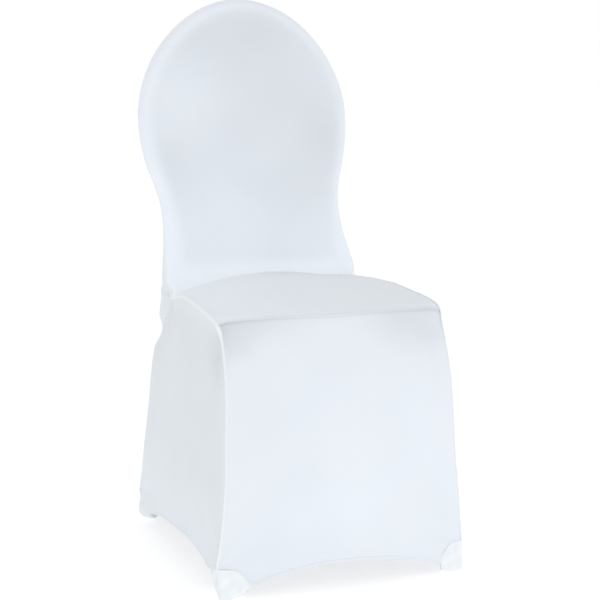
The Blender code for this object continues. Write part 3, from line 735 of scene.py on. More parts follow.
def hem_height(point, corner, pocket_top):
    """Height of the front or rear panel's lower edge below a point of its corner row."""
    tip = pocket_top[-1]
    away = corner.x - point.x
    if away <= tip.along:
        return value_at(pocket_top, away, straight_share)
    arch = ARCH_HEIGHT * (1.0 - min(abs(point.x) / ARCH_HALF_WIDTH, 1.0) ** ARCH_POWER)
    return tip.z + (arch - tip.z) * eased_share(away, tip.along, tip.along + HEM_BLEND)


def push_at(point):
    """How far the cloth is moved at a place by the one-sided pushes."""
    moved = Vector()
    for push in PUSHES:
        weight = 1.0
        for place, centre, reach in zip(point, push[:3], push[3:6]):
            away = (place - centre) / reach
            weight *= max(1.0 - away * away, 0.0) ** 2
        moved += Vector(push[6:]) * weight
    return moved


def placed(point):
    """A point after the one-sided pushes, moved from the tables' y to the part's."""
    return point + push_at(point) - TABLE_MIDDLE


def placed_rows(rows):
    """Rows of points after the one-sided pushes, in the part's place."""
    return [[placed(point) for point in row] for row in rows]


def seam_stations(point_at, first, last, spacing):
    """Row numbers along a seam, closer at the hem and the creases, with every whole row among them."""
    stations = []
    for row in range(first, last):
        if row == 0:
            stations += [(step / HEM_STEPS) ** HEM_CLOSENESS for step in range(HEM_STEPS)]
            continue
        step_length = min(spacing, FINE_STEP) if row in CREASE_ROWS else spacing
        length = (point_at(row + 1.0) - point_at(row)).length
        count = max(math.ceil(length / step_length), 1)
        stations += [row + step / count for step in range(count)]
    return stations + [float(last)]


def spread_steps(length, spacing, near_first=True):
    """Steps from 0 to 1 with more of them near the ends that lie beside a seam."""
    count = max(round(length / spacing), LEAST_STEPS)
    steps = {step / count for step in range(count + 1)}
    steps |= {1.0 - place / length for place in NEAR_PLACES}
    if near_first:
        steps |= {place / length for place in NEAR_PLACES}
    least = NEAR_LEAST / length
    kept = [0.0]
    for step in sorted(steps)[1:-1]:
        if step - kept[-1] > least and 1.0 - step > least:
            kept.append(step)
    return kept + [1.0]


def grid_normals(points, after):
    """Outward normal at every point of a grid of rows; after stands for the row past the last."""
    last = len(points[0]) - 1
    normals = []
    for j, row in enumerate(points):
        low = points[max(j - 1, 0)]
        high = points[j + 1] if j + 1 < len(points) else after
        normals.append([(row[min(i + 1, last)] - row[max(i - 1, 0)]).cross(high[i] - low[i]).normalized()
                        for i in range(last + 1)])
    return normals


def arc_lengths(points):
    """Distance along each row from its first point."""
    return [[0.0, *accumulate((second - first).length for first, second in zip(row, row[1:]))]
            for row in points]


def cloth_places(rows):
    """Places of all points on the cloth: the distance along their row, and along their column."""
    return arc_lengths(rows), transposed(arc_lengths(transposed(rows)))


def row_past(rows):
    """Row that would follow the last, in the same direction."""
    return [high + (high - low) for low, high in zip(rows[-2], rows[-1])]


def bell(distance, width):
    """Smooth bump of height 1 that fades out over a width."""
    return math.exp(-(distance / width) ** 2)


def crease_fade(distance, reach):
    """Share from 1 at a crease to 0 well past its reach, steep at first."""
    return math.exp(-(distance / reach) ** CREASE_FADE)


def soft_noise(point, cloud):
    """Smooth noise from -1 to 1 with features of about a cloud's size."""
    return noise.noise(Vector((point.x / cloud.size + cloud.seed, point.y / cloud.size - cloud.seed,
                               point.z / cloud.size)))


def ripples(kind, along, down=0.0):
    """Small ripples from -1 to 1, whose spacing and strength wander along a seam."""
    wander = noise.noise(Vector((along / kind.wander_length, kind.seed, down)))
    change = noise.noise(Vector((along / kind.change_length, *kind.change_seeds)))
    strength = kind.evenness + (1.0 - kind.evenness) * change
    return math.sin(along / kind.length + kind.wander * wander) * strength


def seam_relief(distance, along, height):
    """Height of the cloth beside a seam: a raised edge, a shallow valley and small puckers."""
    ridge = height * EDGE_RISE_SHARE * bell(distance, RIDGE_WIDTH)
    valley = -height * VALLEY_SHARE * bell(distance - VALLEY_MIDDLE, VALLEY_WIDTH)
    puckers = ripples(SEAM_PUCKERS, along) * PUCKER_RISE * bell(distance - PUCKER_MIDDLE, PUCKER_MIDDLE)
    return ridge + valley + puckers


def hem_relief(distance):
    """Height of a turned-up hem above the cloth, with a groove where its top edge is sewn."""
    sewn = HEM_DEPTH * HEM_SEWN_SHARE
    band = 1.0 - eased_share(distance, HEM_DEPTH * HEM_FLAT_SHARE, sewn)
    return HEM_HEIGHT * band - HEM_GROOVE * bell(distance - sewn, HEM_DEPTH * HEM_GROOVE_SHARE)


def drag_relief(point):
    """Shallow drag lines that fan out from the places where the cloth is pulled."""
    total = 0.0
    for number, drag in enumerate(DRAGS):
        away = point - Vector(drag[:3])
        if away.length <= drag.reach:
            angle = math.atan2(away.z, math.hypot(away.x, away.y))
            fade = bell(away.length - drag.reach * DRAG_MIDDLE, drag.reach * DRAG_WIDTH)
            total += drag.height * math.sin(angle * drag.lines + number * DRAG_CHANGE) * fade
    return total


def cloth_relief(point, strength):
    """Slight waves and drag lines of the stretched cloth, which don't depend on its seams."""
    soft = HOOD_WAVINESS if point.z > HOOD_FOOT_Z else 1.0
    waves = soft_noise(point, LARGE_WAVE) + SMALL_WAVE_SHARE * soft_noise(point, SMALL_WAVE)
    return strength * soft * waves + drag_relief(point)


def crease_relief(distance, x):
    """Crease along the seat's front edge, with a hollow that fades out below it."""
    depth = value_at(SEAT_CREASE, x)
    if distance > 0.0:
        return -depth * bell(distance, CREASE_TOP_WIDTH)
    middle = 1.0 - min(abs(x) / CREASE_HALF, 1.0)
    return -depth * crease_fade(-distance, CREASE_REACH_END + (CREASE_REACH - CREASE_REACH_END) * middle)


def patch_distance(patch, point):
    """Square of the distance from a patch's centre, where 1 is its reach."""
    return ((point.x - patch.x) / patch.reach_x) ** 2 + ((point.z - patch.z) / patch.reach_z) ** 2


def hollow_relief(point):
    """Shallow hollows and swellings of the front of the skirt."""
    return -sum(hollow.depth * max(1.0 - patch_distance(hollow, point), 0.0) ** 2
                for hollow in SKIRT_HOLLOWS)


def hood_relief(point, from_seam):
    """Shallow groove in the hood's front, between a band along its rim and the padded middle."""
    fall = eased_share(from_seam, HOOD_BAND, HOOD_BAND + HOOD_GROOVE)
    recovered = 1.0 - eased_share(from_seam, HOOD_BAND + HOOD_GROOVE, HOOD_PAD)
    return -HOOD_DISH * value_at(HOOD_BAND_HEIGHTS, point.z) * fall * recovered


def patch_shading(patches, point):
    """Painted shade within a few soft patches: darker where a patch's depth is above 0, lighter below it."""
    return sum(patch.depth * math.exp(-PATCH_FALL * patch_distance(patch, point)) for patch in patches)


def front_shade_and_tone(point, from_seam, from_crease, from_cove):
    """Painted shade of the front's cloth, with a random change of tone: darker above 0, and brighter below
    it.
    """
    cloud = soft_noise(point, FRONT_CLOUD)
    if from_cove > 0.0:
        inside = value_at(HOOD_SHADE_EDGE, from_seam)
        hood = value_at(HOOD_SHADE_HEIGHTS, point.z) + patch_shading(HOOD_SHADE_PATCHES, point)
        rim = value_at(HOOD_RIM_SHADE, point.x) + value_at(HOOD_FOOT_SHADE, point.z)
        hood = hood * inside + rim * (1.0 - inside)
        return (hood + HOOD_CLOUD_SHARE * cloud) * min(from_cove / COVE_WIDTH, 1.0)
    ends = value_at(CREASE_SHADE, point.x)
    edge = ends * bell(from_crease, CREASE_WIDTH)
    lip_width = LIP_WIDTH if from_crease > LIP_MIDDLE else LIP_WIDTH_BELOW
    lip = LIP_SHADE * bell(from_crease - LIP_MIDDLE, lip_width)
    if from_crease > 0.0:
        shade = COVE_SHADE * bell(from_cove, COVE_SHADE_REACH) * value_at(COVE_SHADE_PLACE, point.x)
        seat = value_at(SEAT_SHADE, point.x) + SEAT_CLOUD_SHARE * cloud
        return edge * (1.0 + CREASE_DARK) + lip + shade + seat
    below = ends * crease_fade(-from_crease, value_at(CREASE_SHADE_REACH, point.x))
    skirt = patch_shading(SKIRT_SHADE_PATCHES, point) + SKIRT_CLOUD_SHARE * cloud + SKIRT_SHADE
    return below + CREASE_DARK * edge + lip + skirt


def side_shade_and_tone(point, from_seam):
    """Painted shade of a side's cloth, mostly beside the front seam, with a random change of tone."""
    shade_and_tone = value_at(SIDE_SHADE_HEIGHTS, point.z) + SIDE_CLOUD_SHARE * soft_noise(point, SIDE_CLOUD)
    shade_and_tone *= SIDE_SHADE_START + (1.0 - SIDE_SHADE_START) * eased_share(from_seam, 0.0, SIDE_SHADE_EDGE)
    share = 1.0 if point.x < 0.0 else RIGHT_SIDE_SHARE
    for patch in SIDE_SHADE_PATCHES:
        near = bell(point.y - patch.y, patch.reach_y) * bell(point.z - patch.z, patch.reach_z)
        shade_and_tone += share * patch.depth * near
    return shade_and_tone


def pocket_relief(point, along, down):
    """Creases of the stout cloth of a pocket, drawn in by its seams."""
    creases = ripples(POCKET_CREASES, along, down / POCKET_CREASES.wander_length) * POCKET_CREASE
    fade = bell(down - POCKET_CREASE_MIDDLE, POCKET_CREASE_REACH)
    return POCKET_WAVE_HEIGHT * soft_noise(point, POCKET_WAVE) + creases * fade


def finish_mesh(name, shell, material):
    """Object of a closed mesh, with its faces outward."""
    bmesh.ops.recalc_face_normals(shell, faces=shell.faces[:])
    mesh = bpy.data.meshes.new(name)
    shell.to_mesh(mesh)
    shell.free()
    mesh.set_sharp_from_angle(angle=math.radians(SHARP_ANGLE))
    mesh.materials.append(material)
    piece = bpy.data.objects.new(name, mesh)
    bpy.context.scene.collection.objects.link(piece)
    return piece


def make_sheet(name, rows, edges, after, relief_at, shade_and_tone_at, settings, material, closed_crown=False):
    """Closed sheet of cloth from rows of outer points, with its relief, its UV map, and its painted shade
    with a random change of tone.

    relief_at, and the function that gives the painted shade and tone, take a point with its row, its place in
    the row, and its distances along the row and the column. edges gives the normals of the sheet's edges,
    which its neighbours share.
    """
    normals = grid_normals(rows, after)
    for (j, i), normal in edges.items():
        normals[j][i] = normal
    us, vs = cloth_places(rows)
    shell = bmesh.new()
    uv_layer = shell.loops.layers.uv.new("cloth")
    # Painted shade, with a random change of tone, carried by each point for the shader to darken or lighten
    # the cloth.
    shade_and_tone = shell.verts.layers.float.new("shade_and_tone")
    from_hem = shell.verts.layers.float.new("from_hem")
    last = len(rows) - 1
    right = len(rows[0]) - 1
    outer = [[] for _ in rows]
    inner = [[] for _ in rows]
    places = {}
    for j, row in enumerate(rows):
        for i, point in enumerate(row):
            u = us[j][i]
            v = vs[j][i]
            normal = normals[j][i]
            moved = point + normal * relief_at(point, j, i, u, v)
            shade_and_tone_value = shade_and_tone_at(point, j, i, u, v)
            for layer, offset in ((outer, 0.0), (inner, settings.thickness)):
                vert = shell.verts.new(moved - normal * offset)
                vert[shade_and_tone] = shade_and_tone_value
                vert[from_hem] = v
                places[vert] = (u - us[j][len(row) // 2], v)
                layer[j].append(vert)
    for j in range(last):
        for i in range(right):
            shell.faces.new((outer[j][i], outer[j][i + 1], outer[j + 1][i + 1], outer[j + 1][i]))
            shell.faces.new((inner[j][i], inner[j + 1][i], inner[j + 1][i + 1], inner[j][i + 1]))
    loop = [(j, 0) for j in range(last, 0, -1)] + [(0, i) for i in range(right)]
    loop += [(j, right) for j in range(last + 1)]
    if not closed_crown:
        loop += [(last, i) for i in range(right - 1, -1, -1)]
    for (j, i), (k, n) in zip(loop, loop[1:]):
        shell.faces.new((outer[k][n], outer[j][i], inner[j][i], inner[k][n]))
    for face in shell.faces:
        face.smooth = True
        for corner in face.loops:
            corner[uv_layer].uv = places[corner.vert]
    bmesh.ops.remove_doubles(shell, verts=shell.verts[:], dist=MERGE_DISTANCE)
    return finish_mesh(name, shell, material)


def make_band(name, stations, width, material):
    """Flat rounded band over a seam, through a point, normal, side way and height at each station."""
    shell = bmesh.new()
    rings = []
    for point, normal, across, height in stations:
        half = max(height * BAND_THICKNESS_SHARE, BAND_LEAST)
        reach = width / 2.0 * value_at(BAND_SPREAD, height)
        middle = point + normal * (height * EDGE_RISE_SHARE)
        angles = [2.0 * math.pi * step / BAND_SIDES for step in range(BAND_SIDES)]
        rings.append([
            shell.verts.new(middle + (across * (math.cos(angle) * reach) + normal * (math.sin(angle) * half)))
            for angle in angles])
    for first, second in zip(rings, rings[1:]):
        for i in range(BAND_SIDES):
            n = (i + 1) % BAND_SIDES
            shell.faces.new((first[i], first[n], second[n], second[i]))
    shell.faces.new(rings[0][::-1])
    shell.faces.new(rings[-1])
    for face in shell.faces:
        face.smooth = len(face.verts) == 4
    return finish_mesh(name, shell, material)


def band_stations(seam_at, point_at, last, ridge, settings, side):
    """Stations of a seam's band on the right or left side, from the foot upwards."""
    flip = Vector((side, 1.0, 1.0))
    stations = []
    for at in seam_stations(point_at, 0, last, settings.spacing * SEAM_CLOSENESS):
        seam = seam_at(at)
        there = placed(seam.point * flip)
        normal = seam.normal * flip
        raised = there + normal * cloth_relief(there, settings.waviness)
        puckered = 1.0 + SEAM_UNEVENNESS * soft_noise(there, SEAM_CLOUD)
        height = value_at(ridge, at) * settings.seam_share * puckered
        stations.append((raised, normal, seam.across * flip, height))
    return stations


def make_seams(settings):
    """Bands over the main seam and over the two rear seams."""
    material = cover_material("seam band with painted highlight")
    right, left = [band_stations(main_seam, main_seam_point, LAST_ROW, MAIN_RIDGE, settings, side)
                   for side in (1.0, -1.0)]
    seams = [make_band("seam_main", joined(right, left), SEAM_WIDTH, material)]
    for place, side in SIDES:
        stations = band_stations(rear_seam, rear_seam_point, REAR_LAST, REAR_RIDGE, settings, side)
        seams.append(make_band(f"seam_rear_{place}", stations, SEAM_WIDTH, material))
    return seams


def arch_rows(halves, stations, left_top, right_top):
    """Whole rows of a panel from its right halves, with its lowest rows drawn down to the hem."""
    corner = halves[0][0]
    left_drops, right_drops = [[hem_height(point, corner, top) - point.z for point in halves[0]]
                               for top in (left_top, right_top)]
    rows = []
    for half, at in zip(halves, stations):
        share = max(1.0 - at, 0.0) ** 2
        left, right = [[Vector((p.x, p.y, p.z + drop * share)) for p, drop in zip(half, drops)]
                       for drops in (left_drops, right_drops)]
        rows.append(joined(mirrored(left), right))
    return placed_rows(rows)


def edge_frames(seams, count, centre_facing):
    """Normals of the first and last point of every row, and of the centre that the crown's rows share."""
    normals = {}
    for j, seam in enumerate(seams):
        normals[(j, 0)] = flipped(seam.normal)
        normals[(j, count - 1)] = seam.normal
        if seam.point.z >= HOOD_CENTRE_Z:
            normals[(j, count // 2)] = facing_vector(centre_facing)
    return normals


def lengthwise_relief(rows, ridges, settings):
    """Function for the relief of the front or back panel but for its creases, and its places."""
    us, vs = cloth_places(rows)

    def relief_at(point, j, i, u, v):
        from_seam = min(u, us[j][-1] - u)
        open_hem = eased_share(abs(rows[0][0].x) - abs(point.x), OPEN_HEM, OPEN_HEM + HEM_BLEND)
        relief = seam_relief(from_seam, vs[j][0], ridges[j] * settings.seam_share)
        return relief + cloth_relief(point, settings.waviness) + hem_relief(v) * open_hem

    return relief_at, us, vs


def make_front(settings, material):
    """The front cloth, from the front hem over the seat to the crown."""
    stations = seam_stations(main_seam_point, 0, LAST_ROW, settings.spacing)
    seams = [main_seam(at) for at in stations]
    halves = [half_section(pulled(seam, 1.0), seam, between(FRONT_MIDDLE, min(at, WIDEST_ROW)))
              for at, seam in zip(stations, seams)]
    rows = arch_rows(halves, stations, LEFT_POCKET_TOP, RIGHT_POCKET_TOP)
    plain_relief, us, vs = lengthwise_relief(rows, [value_at(MAIN_RIDGE, at) for at in stations], settings)
    crease = vs[stations.index(SEAT_FRONT_ROW)]
    cove = vs[stations.index(SEAT_REAR_ROW)]

    def relief_at(point, j, i, u, v):
        from_seam = min(u, us[j][-1] - u)
        relief = plain_relief(point, j, i, u, v) + crease_relief(v - crease[i], point.x)
        relief -= value_at(COVE_CREASE, abs(point.x)) * bell(v - cove[i], COVE_WIDTH)
        relief += hood_relief(point, from_seam)
        if v < crease[i]:
            relief += hollow_relief(point) * eased_share(from_seam, 0.0, HOLLOW_EDGE)
        return relief

    # Painted shade of the front cloth, with its random change of tone.
    def shade_and_tone_at(point, j, i, u, v):
        return front_shade_and_tone(point, min(u, us[j][-1] - u), v - crease[i], v - cove[i])

    edges = edge_frames(seams, len(rows[0]), MAIN_SEAM[WIDEST_ROW].facing)
    return make_sheet("front_cloth", rows, edges, rows[-2][::-1], relief_at, shade_and_tone_at, settings, material,
                      closed_crown=True)


def make_back(settings, material):
    """The back cloth, from the rear hem to the crown."""
    halves = []
    seams = []
    ridges = []
    low = seam_stations(rear_seam_point, 0, REAR_LAST, settings.spacing)[:-1]
    for at in low:
        seam = rear_seam(at)
        middle = between(BACK_MIDDLE, at)
        halves.append(half_section(pulled(seam, 1.0), seam, middle, max(middle.wrap, 0.0)))
        seams.append(seam)
        ridges.append(value_at(REAR_RIDGE, at))
    for at in seam_stations(main_seam_point, SEAT_REAR_ROW, LAST_ROW, settings.spacing):
        seam = main_seam(at)
        middle = between(BACK_MIDDLE, min(at, WIDEST_ROW) - SEAT_REAR_ROW + REAR_LAST)
        section = seam._replace(turn=0.0, facing=facing_vector(middle.facing))
        halves.append(half_section(pulled(seam, -1.0), section, middle, max(middle.wrap, 0.0)))
        seams.append(seam)
        ridges.append(value_at(MAIN_RIDGE, at))
    stations = low + [float(REAR_LAST)] * (len(halves) - len(low))
    rows = reversed_rows(arch_rows(halves, stations, LEFT_POCKET_TOP, LEFT_POCKET_TOP))
    relief_at = lengthwise_relief(rows, ridges, settings)[0]
    count = len(rows[0])
    right_edges = edge_frames(seams, count, BACK_MIDDLE[-1].facing)
    edges = {(j, count - 1 - i): normal for (j, i), normal in right_edges.items()}
    # The back cloth gets an even painted shade all over.
    return make_sheet("back_cloth", rows, edges, rows[-2][::-1], relief_at, lambda *_: BACK_SHADE, settings,
                      material, closed_crown=True)


def side_bottom(part):
    """Point of the side panel's lower edge, from 0 at the front seam to 1 at the rear seam."""
    point = pulled(main_seam(0.0), -1.0).lerp(pulled(rear_seam(0.0), -1.0), part)
    hem = smooth_row_at(SIDE_HEM, point.y)
    return Vector((point.x - hem.inset, point.y, hem.z))


def roll_out(distance):
    """How far the side panel stands out from the seam line at a distance from the seam."""
    start = math.radians(SIDE_ROLL_START)
    inside = max(SIDE_ROLL * math.sin(start) - distance, 0.0)
    return math.sqrt(SIDE_ROLL ** 2 - inside ** 2) - SIDE_ROLL * math.cos(start)


def side_rows(spacing):
    """Rows of the right side panel, its edge normals, and the distance and height of its seams.

    The distances are those before the panel is rounded out, and both grids take the nearest seam.
    """
    low = [station / SEAT_FRONT_ROW for station in seam_stations(main_seam_point, 0, 1, spacing)]
    high = spread_steps(SIDE_HEIGHT, spacing, near_first=False)
    ups = low[:-1] + [step for step in high if step > low[-1] - NEAR_LEAST]
    acrosses = spread_steps(SIDE_LENGTH, spacing)
    front_rows = [SEAT_FRONT_ROW * up for up in ups]
    rear_rows = [REAR_LAST * up for up in ups]
    top_rows = [SEAT_FRONT_ROW + (SEAT_REAR_ROW - SEAT_FRONT_ROW) * part for part in acrosses]
    top = [main_seam(at) for at in top_rows]
    front = [main_seam(at) for at in front_rows]
    rear = [rear_seam(at) for at in rear_rows[:-1]] + [top[-1]]
    front_points, rear_points, top_points = [[pulled(seam, -1.0) for seam in seams]
                                             for seams in (front, rear, top)]
    bottom = [side_bottom(part) for part in acrosses]
    limit = roll_out(SIDE_ROLL)
    rows = []
    edges = {}
    gaps = []
    heights = []
    for j, up in enumerate(ups):
        row = []
        row_gaps = []
        row_heights = []
        for i, part in enumerate(acrosses):
            ruled = front_points[j].lerp(rear_points[j], part) + bottom[i].lerp(top_points[i], up)
            top_line = top_points[0].lerp(top_points[-1], part)
            point = ruled - bottom[0].lerp(bottom[-1], part).lerp(top_line, up)
            nearby = (front_points[j], rear_points[j], top_points[i])
            distances = [(point - edge).length for edge in nearby]
            point.x += limit * math.prod(roll_out(distance) / limit for distance in distances)
            ridges = (value_at(MAIN_RIDGE, front_rows[j]), value_at(REAR_RIDGE, rear_rows[j]),
                      value_at(MAIN_RIDGE, top_rows[i]))
            row.append(point)
            row_gaps.append(min(distances))
            row_heights.append(min(((point - edge).length, ridge) for edge, ridge in zip(nearby, ridges))[1])
        rows.append(row)
        gaps.append(row_gaps)
        heights.append(row_heights)
        edges[(j, 0)] = front[j].normal
        edges[(j, len(row) - 1)] = rear[j].normal
    edges.update({(len(rows) - 1, i): seam.normal for i, seam in enumerate(top)})
    return rows, edges, gaps, heights


def make_sides(settings, material):
    """The two side cloths of the skirt."""
    right = side_rows(settings.spacing)
    count = len(right[0][0])
    pieces = []
    for place, side in SIDES:
        rows, edges, gaps, heights = right
        if side < 0.0:
            rows = reversed_rows([mirrored(row) for row in rows])
            gaps = reversed_rows(gaps)
            heights = reversed_rows(heights)
            edges = {(j, count - 1 - i): flipped(normal) for (j, i), normal in edges.items()}

        def relief_at(point, j, i, u, v):
            relief = seam_relief(gaps[j][i], u + v, heights[j][i] * settings.seam_share)
            return relief + cloth_relief(point, settings.waviness) + hem_relief(v)

        # Painted shade of the side cloth, with its random change of tone.
        def shade_and_tone_at(point, j, i, u, v):
            return side_shade_and_tone(point, gaps[j][i])

        rows = placed_rows(rows)
        pieces.append(make_sheet(f"side_cloth_{place}", rows, edges, row_past(rows), relief_at, shade_and_tone_at,
                                 settings, material))
    return pieces


def pocket_walls(pocket, spacing):
    """Top and foot of each wall of a pocket, from its end on the face, round the corner, to the side."""
    seam = main_seam(0.0) if pocket.at_front else rear_seam(0.0)
    half = half_section(pulled(seam, 1.0), seam, FRONT_MIDDLE[0] if pocket.at_front else BACK_MIDDLE[0])
    hem = [Vector((p.x, p.y, hem_height(p, half[0], pocket.top))) for p in half]
    side_line = [side_bottom(part) for part in spread_steps(SIDE_LENGTH, spacing / 2.0)]
    if pocket.at_front:
        side_line = [point for point in side_line if point.y < SIDE_HEM[FRONT_POCKET_END].y + EDGE_MARGIN]
    else:
        side_line = [point for point in side_line[::-1]
                     if point.y > SIDE_HEM[REAR_POCKET_END].y - EDGE_MARGIN]
    corner = (hem[0] + side_line[0]) / 2.0
    face = [point for point in hem[1:] if corner.x - point.x < pocket.foot[-1].along + EDGE_MARGIN]
    walls = []
    for number, point in enumerate(face[::-1] + [corner] + side_line[1:]):
        foot_table = pocket.foot if number <= len(face) else pocket.side_foot
        foot = max(smooth_row_at(foot_table, (point.xy - corner.xy).length).z, 0.0)
        top = point - Vector((0.0, 0.0, POCKET_GAP))
        drop = (top.z - foot) / corner.z
        walls.append((top, Vector((top.x + pocket.lean.x * drop, top.y + pocket.lean.y * drop, foot))))
    return walls


def curved(first, control, last, part):
    """Point on a curve from the first point to the last, drawn towards a control point."""
    return first.lerp(control, part).lerp(control.lerp(last, part), part)


def pocket_rows(pocket, spacing):
    """Rows of a foot pocket: down its outer wall, under the foot and up its inner wall."""
    walls = pocket_walls(pocket, spacing)
    inward = -math.copysign(POCKET_END_WIDTH, pocket.lean.y)
    first = walls[0][1] + Vector((0.0, inward, 0.0))
    last = walls[-1][1] - SIDEWAYS * POCKET_END_WIDTH
    thirds = [step / ROUND_STEPS for step in range(ROUND_STEPS)]
    columns = []
    for number, (top, low) in enumerate(walls):
        inner = first.lerp(last, number / (len(walls) - 1))
        inner.z = low.z
        height = top.z - low.z
        lift = Vector((0.0, 0.0, min(POCKET_EDGE_ROUND, height * POCKET_ROUND_SHARE)))
        tuck = min(POCKET_EDGE_ROUND / (inner - low).length, POCKET_TUCK_SHARE)
        outer_edge = low.lerp(inner, tuck)
        inner_edge = low.lerp(inner, 1.0 - tuck)
        inner_top = inner + Vector((0.0, 0.0, height * POCKET_INNER_HEIGHT))
        column = [top.lerp(low + lift, step / WALL_STEPS) for step in range(WALL_STEPS)]
        column += [curved(low + lift, low, outer_edge, part) for part in thirds]
        column += [outer_edge.lerp(inner_edge, part) for part in thirds]
        column += [curved(inner_edge, inner, inner + lift, part) for part in thirds]
        column += [(inner + lift).lerp(inner_top, part) for part in thirds + [1.0]]
        columns.append(column)
    rows = transposed(columns)
    if pocket.side < 0.0:
        rows = [mirrored(row) for row in rows]
    if pocket.at_front == (pocket.side > 0.0):
        rows = reversed_rows(rows)
    return placed_rows(rows)


def make_pocket(pocket, settings, material, band_material):
    """One foot pocket, with the band of its seam."""
    rows = pocket_rows(pocket, settings.spacing)
    after = row_past(rows)
    first = rows[0]
    alongs = arc_lengths(rows)[0]
    # Painted shade on the rear pockets only.
    shade_and_tone = 0.0 if pocket.at_front else REAR_POCKET_SHADE

    def relief_at(point, j, i, u, v):
        return pocket_relief(point, alongs[i], v) * min(point.z / FLOOR_FADE, 1.0)

    def shade_and_tone_at(point, j, i, u, v):
        return shade_and_tone + POCKET_THIN * soft_noise(point, POCKET_CLOUD)

    piece = make_sheet(f"pocket_cloth_{pocket.place}", rows, {}, after, relief_at, shade_and_tone_at, settings,
                       material)
    stations = []
    for i, normal in enumerate(grid_normals(rows, after)[0]):
        direction = first[min(i + 1, len(first) - 1)] - first[max(i - 1, 0)]
        level = Vector((normal.x, normal.y, 0.0)).normalized()
        stations.append((first[i], level, level.cross(direction).normalized(), POCKET_SEAM_HEIGHT))
    return piece, make_band(f"pocket_seam_{pocket.place}", stations, POCKET_SEAM_WIDTH, band_material)


def feed(tree, socket, value):
    """Link a socket from another one, or set it to a value."""
    if isinstance(value, bpy.types.NodeSocket):
        tree.links.new(value, socket)
    else:
        socket.default_value = value


def feed_inputs(tree, node, values):
    """Feed the inputs of a node that a dictionary names, and give the node back."""
    for name, value in values.items():
        feed(tree, node.inputs[name], value)
    return node


def new_node(tree, kind, values):
    """New node of a kind, with its named inputs fed."""
    return feed_inputs(tree, tree.nodes.new(f"ShaderNode{kind}"), values)


def math_node(tree, operation, *values):
    """Result of a math node whose inputs are sockets or numbers."""
    node = tree.nodes.new("ShaderNodeMath")
    node.operation = operation
    for socket, value in zip(node.inputs, values):
        feed(tree, socket, value)
    return node.outputs[0]


def colour_mix(tree, share, first, second):
    """Colour between two others, by a share."""
    mix = tree.nodes.new("ShaderNodeMix")
    mix.data_type = "RGBA"
    return feed_inputs(tree, mix, {"Factor": share, "A": first, "B": second}).outputs["Result"]


def object_noise(tree, values):
    """Soft noise on a piece's own coordinates."""
    place = tree.nodes.new("ShaderNodeTexCoord")
    return new_node(tree, "TexNoise", {"Vector": place.outputs["Object"], **values}).outputs["Fac"]


def cloth_uv(tree):
    """The two parts of the cloth's own UV map, in metres across and along it."""
    uv_map = tree.nodes.new("ShaderNodeUVMap")
    uv_map.uv_map = "cloth"
    split = new_node(tree, "SeparateXYZ", {"Vector": uv_map.outputs["UV"]})
    return split.outputs["X"], split.outputs["Y"]


def point_value(tree, name):
    """Value that the cloth's points carry under a name."""
    node = tree.nodes.new("ShaderNodeAttribute")
    node.attribute_name = name
    return node.outputs["Fac"]


def new_group(name, inputs, outputs):
    """Empty shader node group with named sockets, the sockets at its start, and its end node."""
    group = bpy.data.node_groups.new(name, "ShaderNodeTree")
    for in_out, sockets in (("INPUT", inputs), ("OUTPUT", outputs)):
        for socket_name, kind, value in sockets:
            socket = group.interface.new_socket(socket_name, in_out=in_out, socket_type=f"NodeSocket{kind}")
            if value is not None:
                socket.default_value = value
    return group, group.nodes.new("NodeGroupInput").outputs, group.nodes.new("NodeGroupOutput")


def knit_group(name):
    """Height of fine knitted ribs, from the cloth's own UV map in metres."""
    group, start, end = new_group(name, [("Pitch", "Float", KNIT_PITCH)], [("Height", "Float", None)])
    turns = math_node(group, "DIVIDE", 2.0 * math.pi, start["Pitch"])
    ribs, loops = [math_node(group, "SINE", math_node(group, "MULTIPLY", part, turns))
                   for part in cloth_uv(group)]
    height = math_node(group, "ADD", ribs, math_node(group, "MULTIPLY", loops, RIB_SHARE))
    feed_inputs(group, end, {"Height": height})
    return group


def tone_and_shade_group(name):
    """Soft change of colour over the cloth, between two close tones, darker where the painted shade that its
    points carry is above 0, and lighter below it.
    """
    group, start, end = new_group(
        name, [("First", "Color", None), ("Second", "Color", None), ("Scale", "Float", TONE_SCALE)],
        [("Colour", "Color", None), ("Roughness", "Float", None)])
    clouds = object_noise(group, {"Scale": start["Scale"], "Detail": TONE_DETAIL})
    tone = colour_mix(group, clouds, start["First"], start["Second"])
    # The painted shade darkens the tone above 0 and lightens it below 0.
    shade = math_node(group, "MULTIPLY", point_value(group, "shade_and_tone"), -PAINTED_SHADE_STRENGTH)
    darker = group.nodes.new("ShaderNodeVectorMath")
    darker.operation = "SCALE"
    feed_inputs(group, darker, {"Vector": tone, "Scale": math_node(group, "ADD", shade, 1.0)})
    spread = math_node(group, "MULTIPLY", clouds, ROUGHNESS_SPREAD)
    feed_inputs(group, end, {"Colour": darker.outputs["Vector"],
                             "Roughness": math_node(group, "ADD", spread, ROUGHNESS_LOW)})
    return group


def stitch_group(name):
    """Height of a row of stitches at a distance from the hem, along the UV map."""
    group, start, end = new_group(name, [("Distance", "Float", HEM_DEPTH)], [("Height", "Float", None)])
    away = math_node(group, "SUBTRACT", point_value(group, "from_hem"), start["Distance"])
    line = math_node(group, "LESS_THAN", math_node(group, "ABSOLUTE", away), STITCH_WIDTH / 2.0)
    turns = math_node(group, "MULTIPLY", cloth_uv(group)[0], 2.0 * math.pi / STITCH_LENGTH)
    dashes = math_node(group, "GREATER_THAN", math_node(group, "SINE", turns), STITCH_SPACE)
    feed_inputs(group, end, {"Height": math_node(group, "MULTIPLY", line, dashes)})
    return group


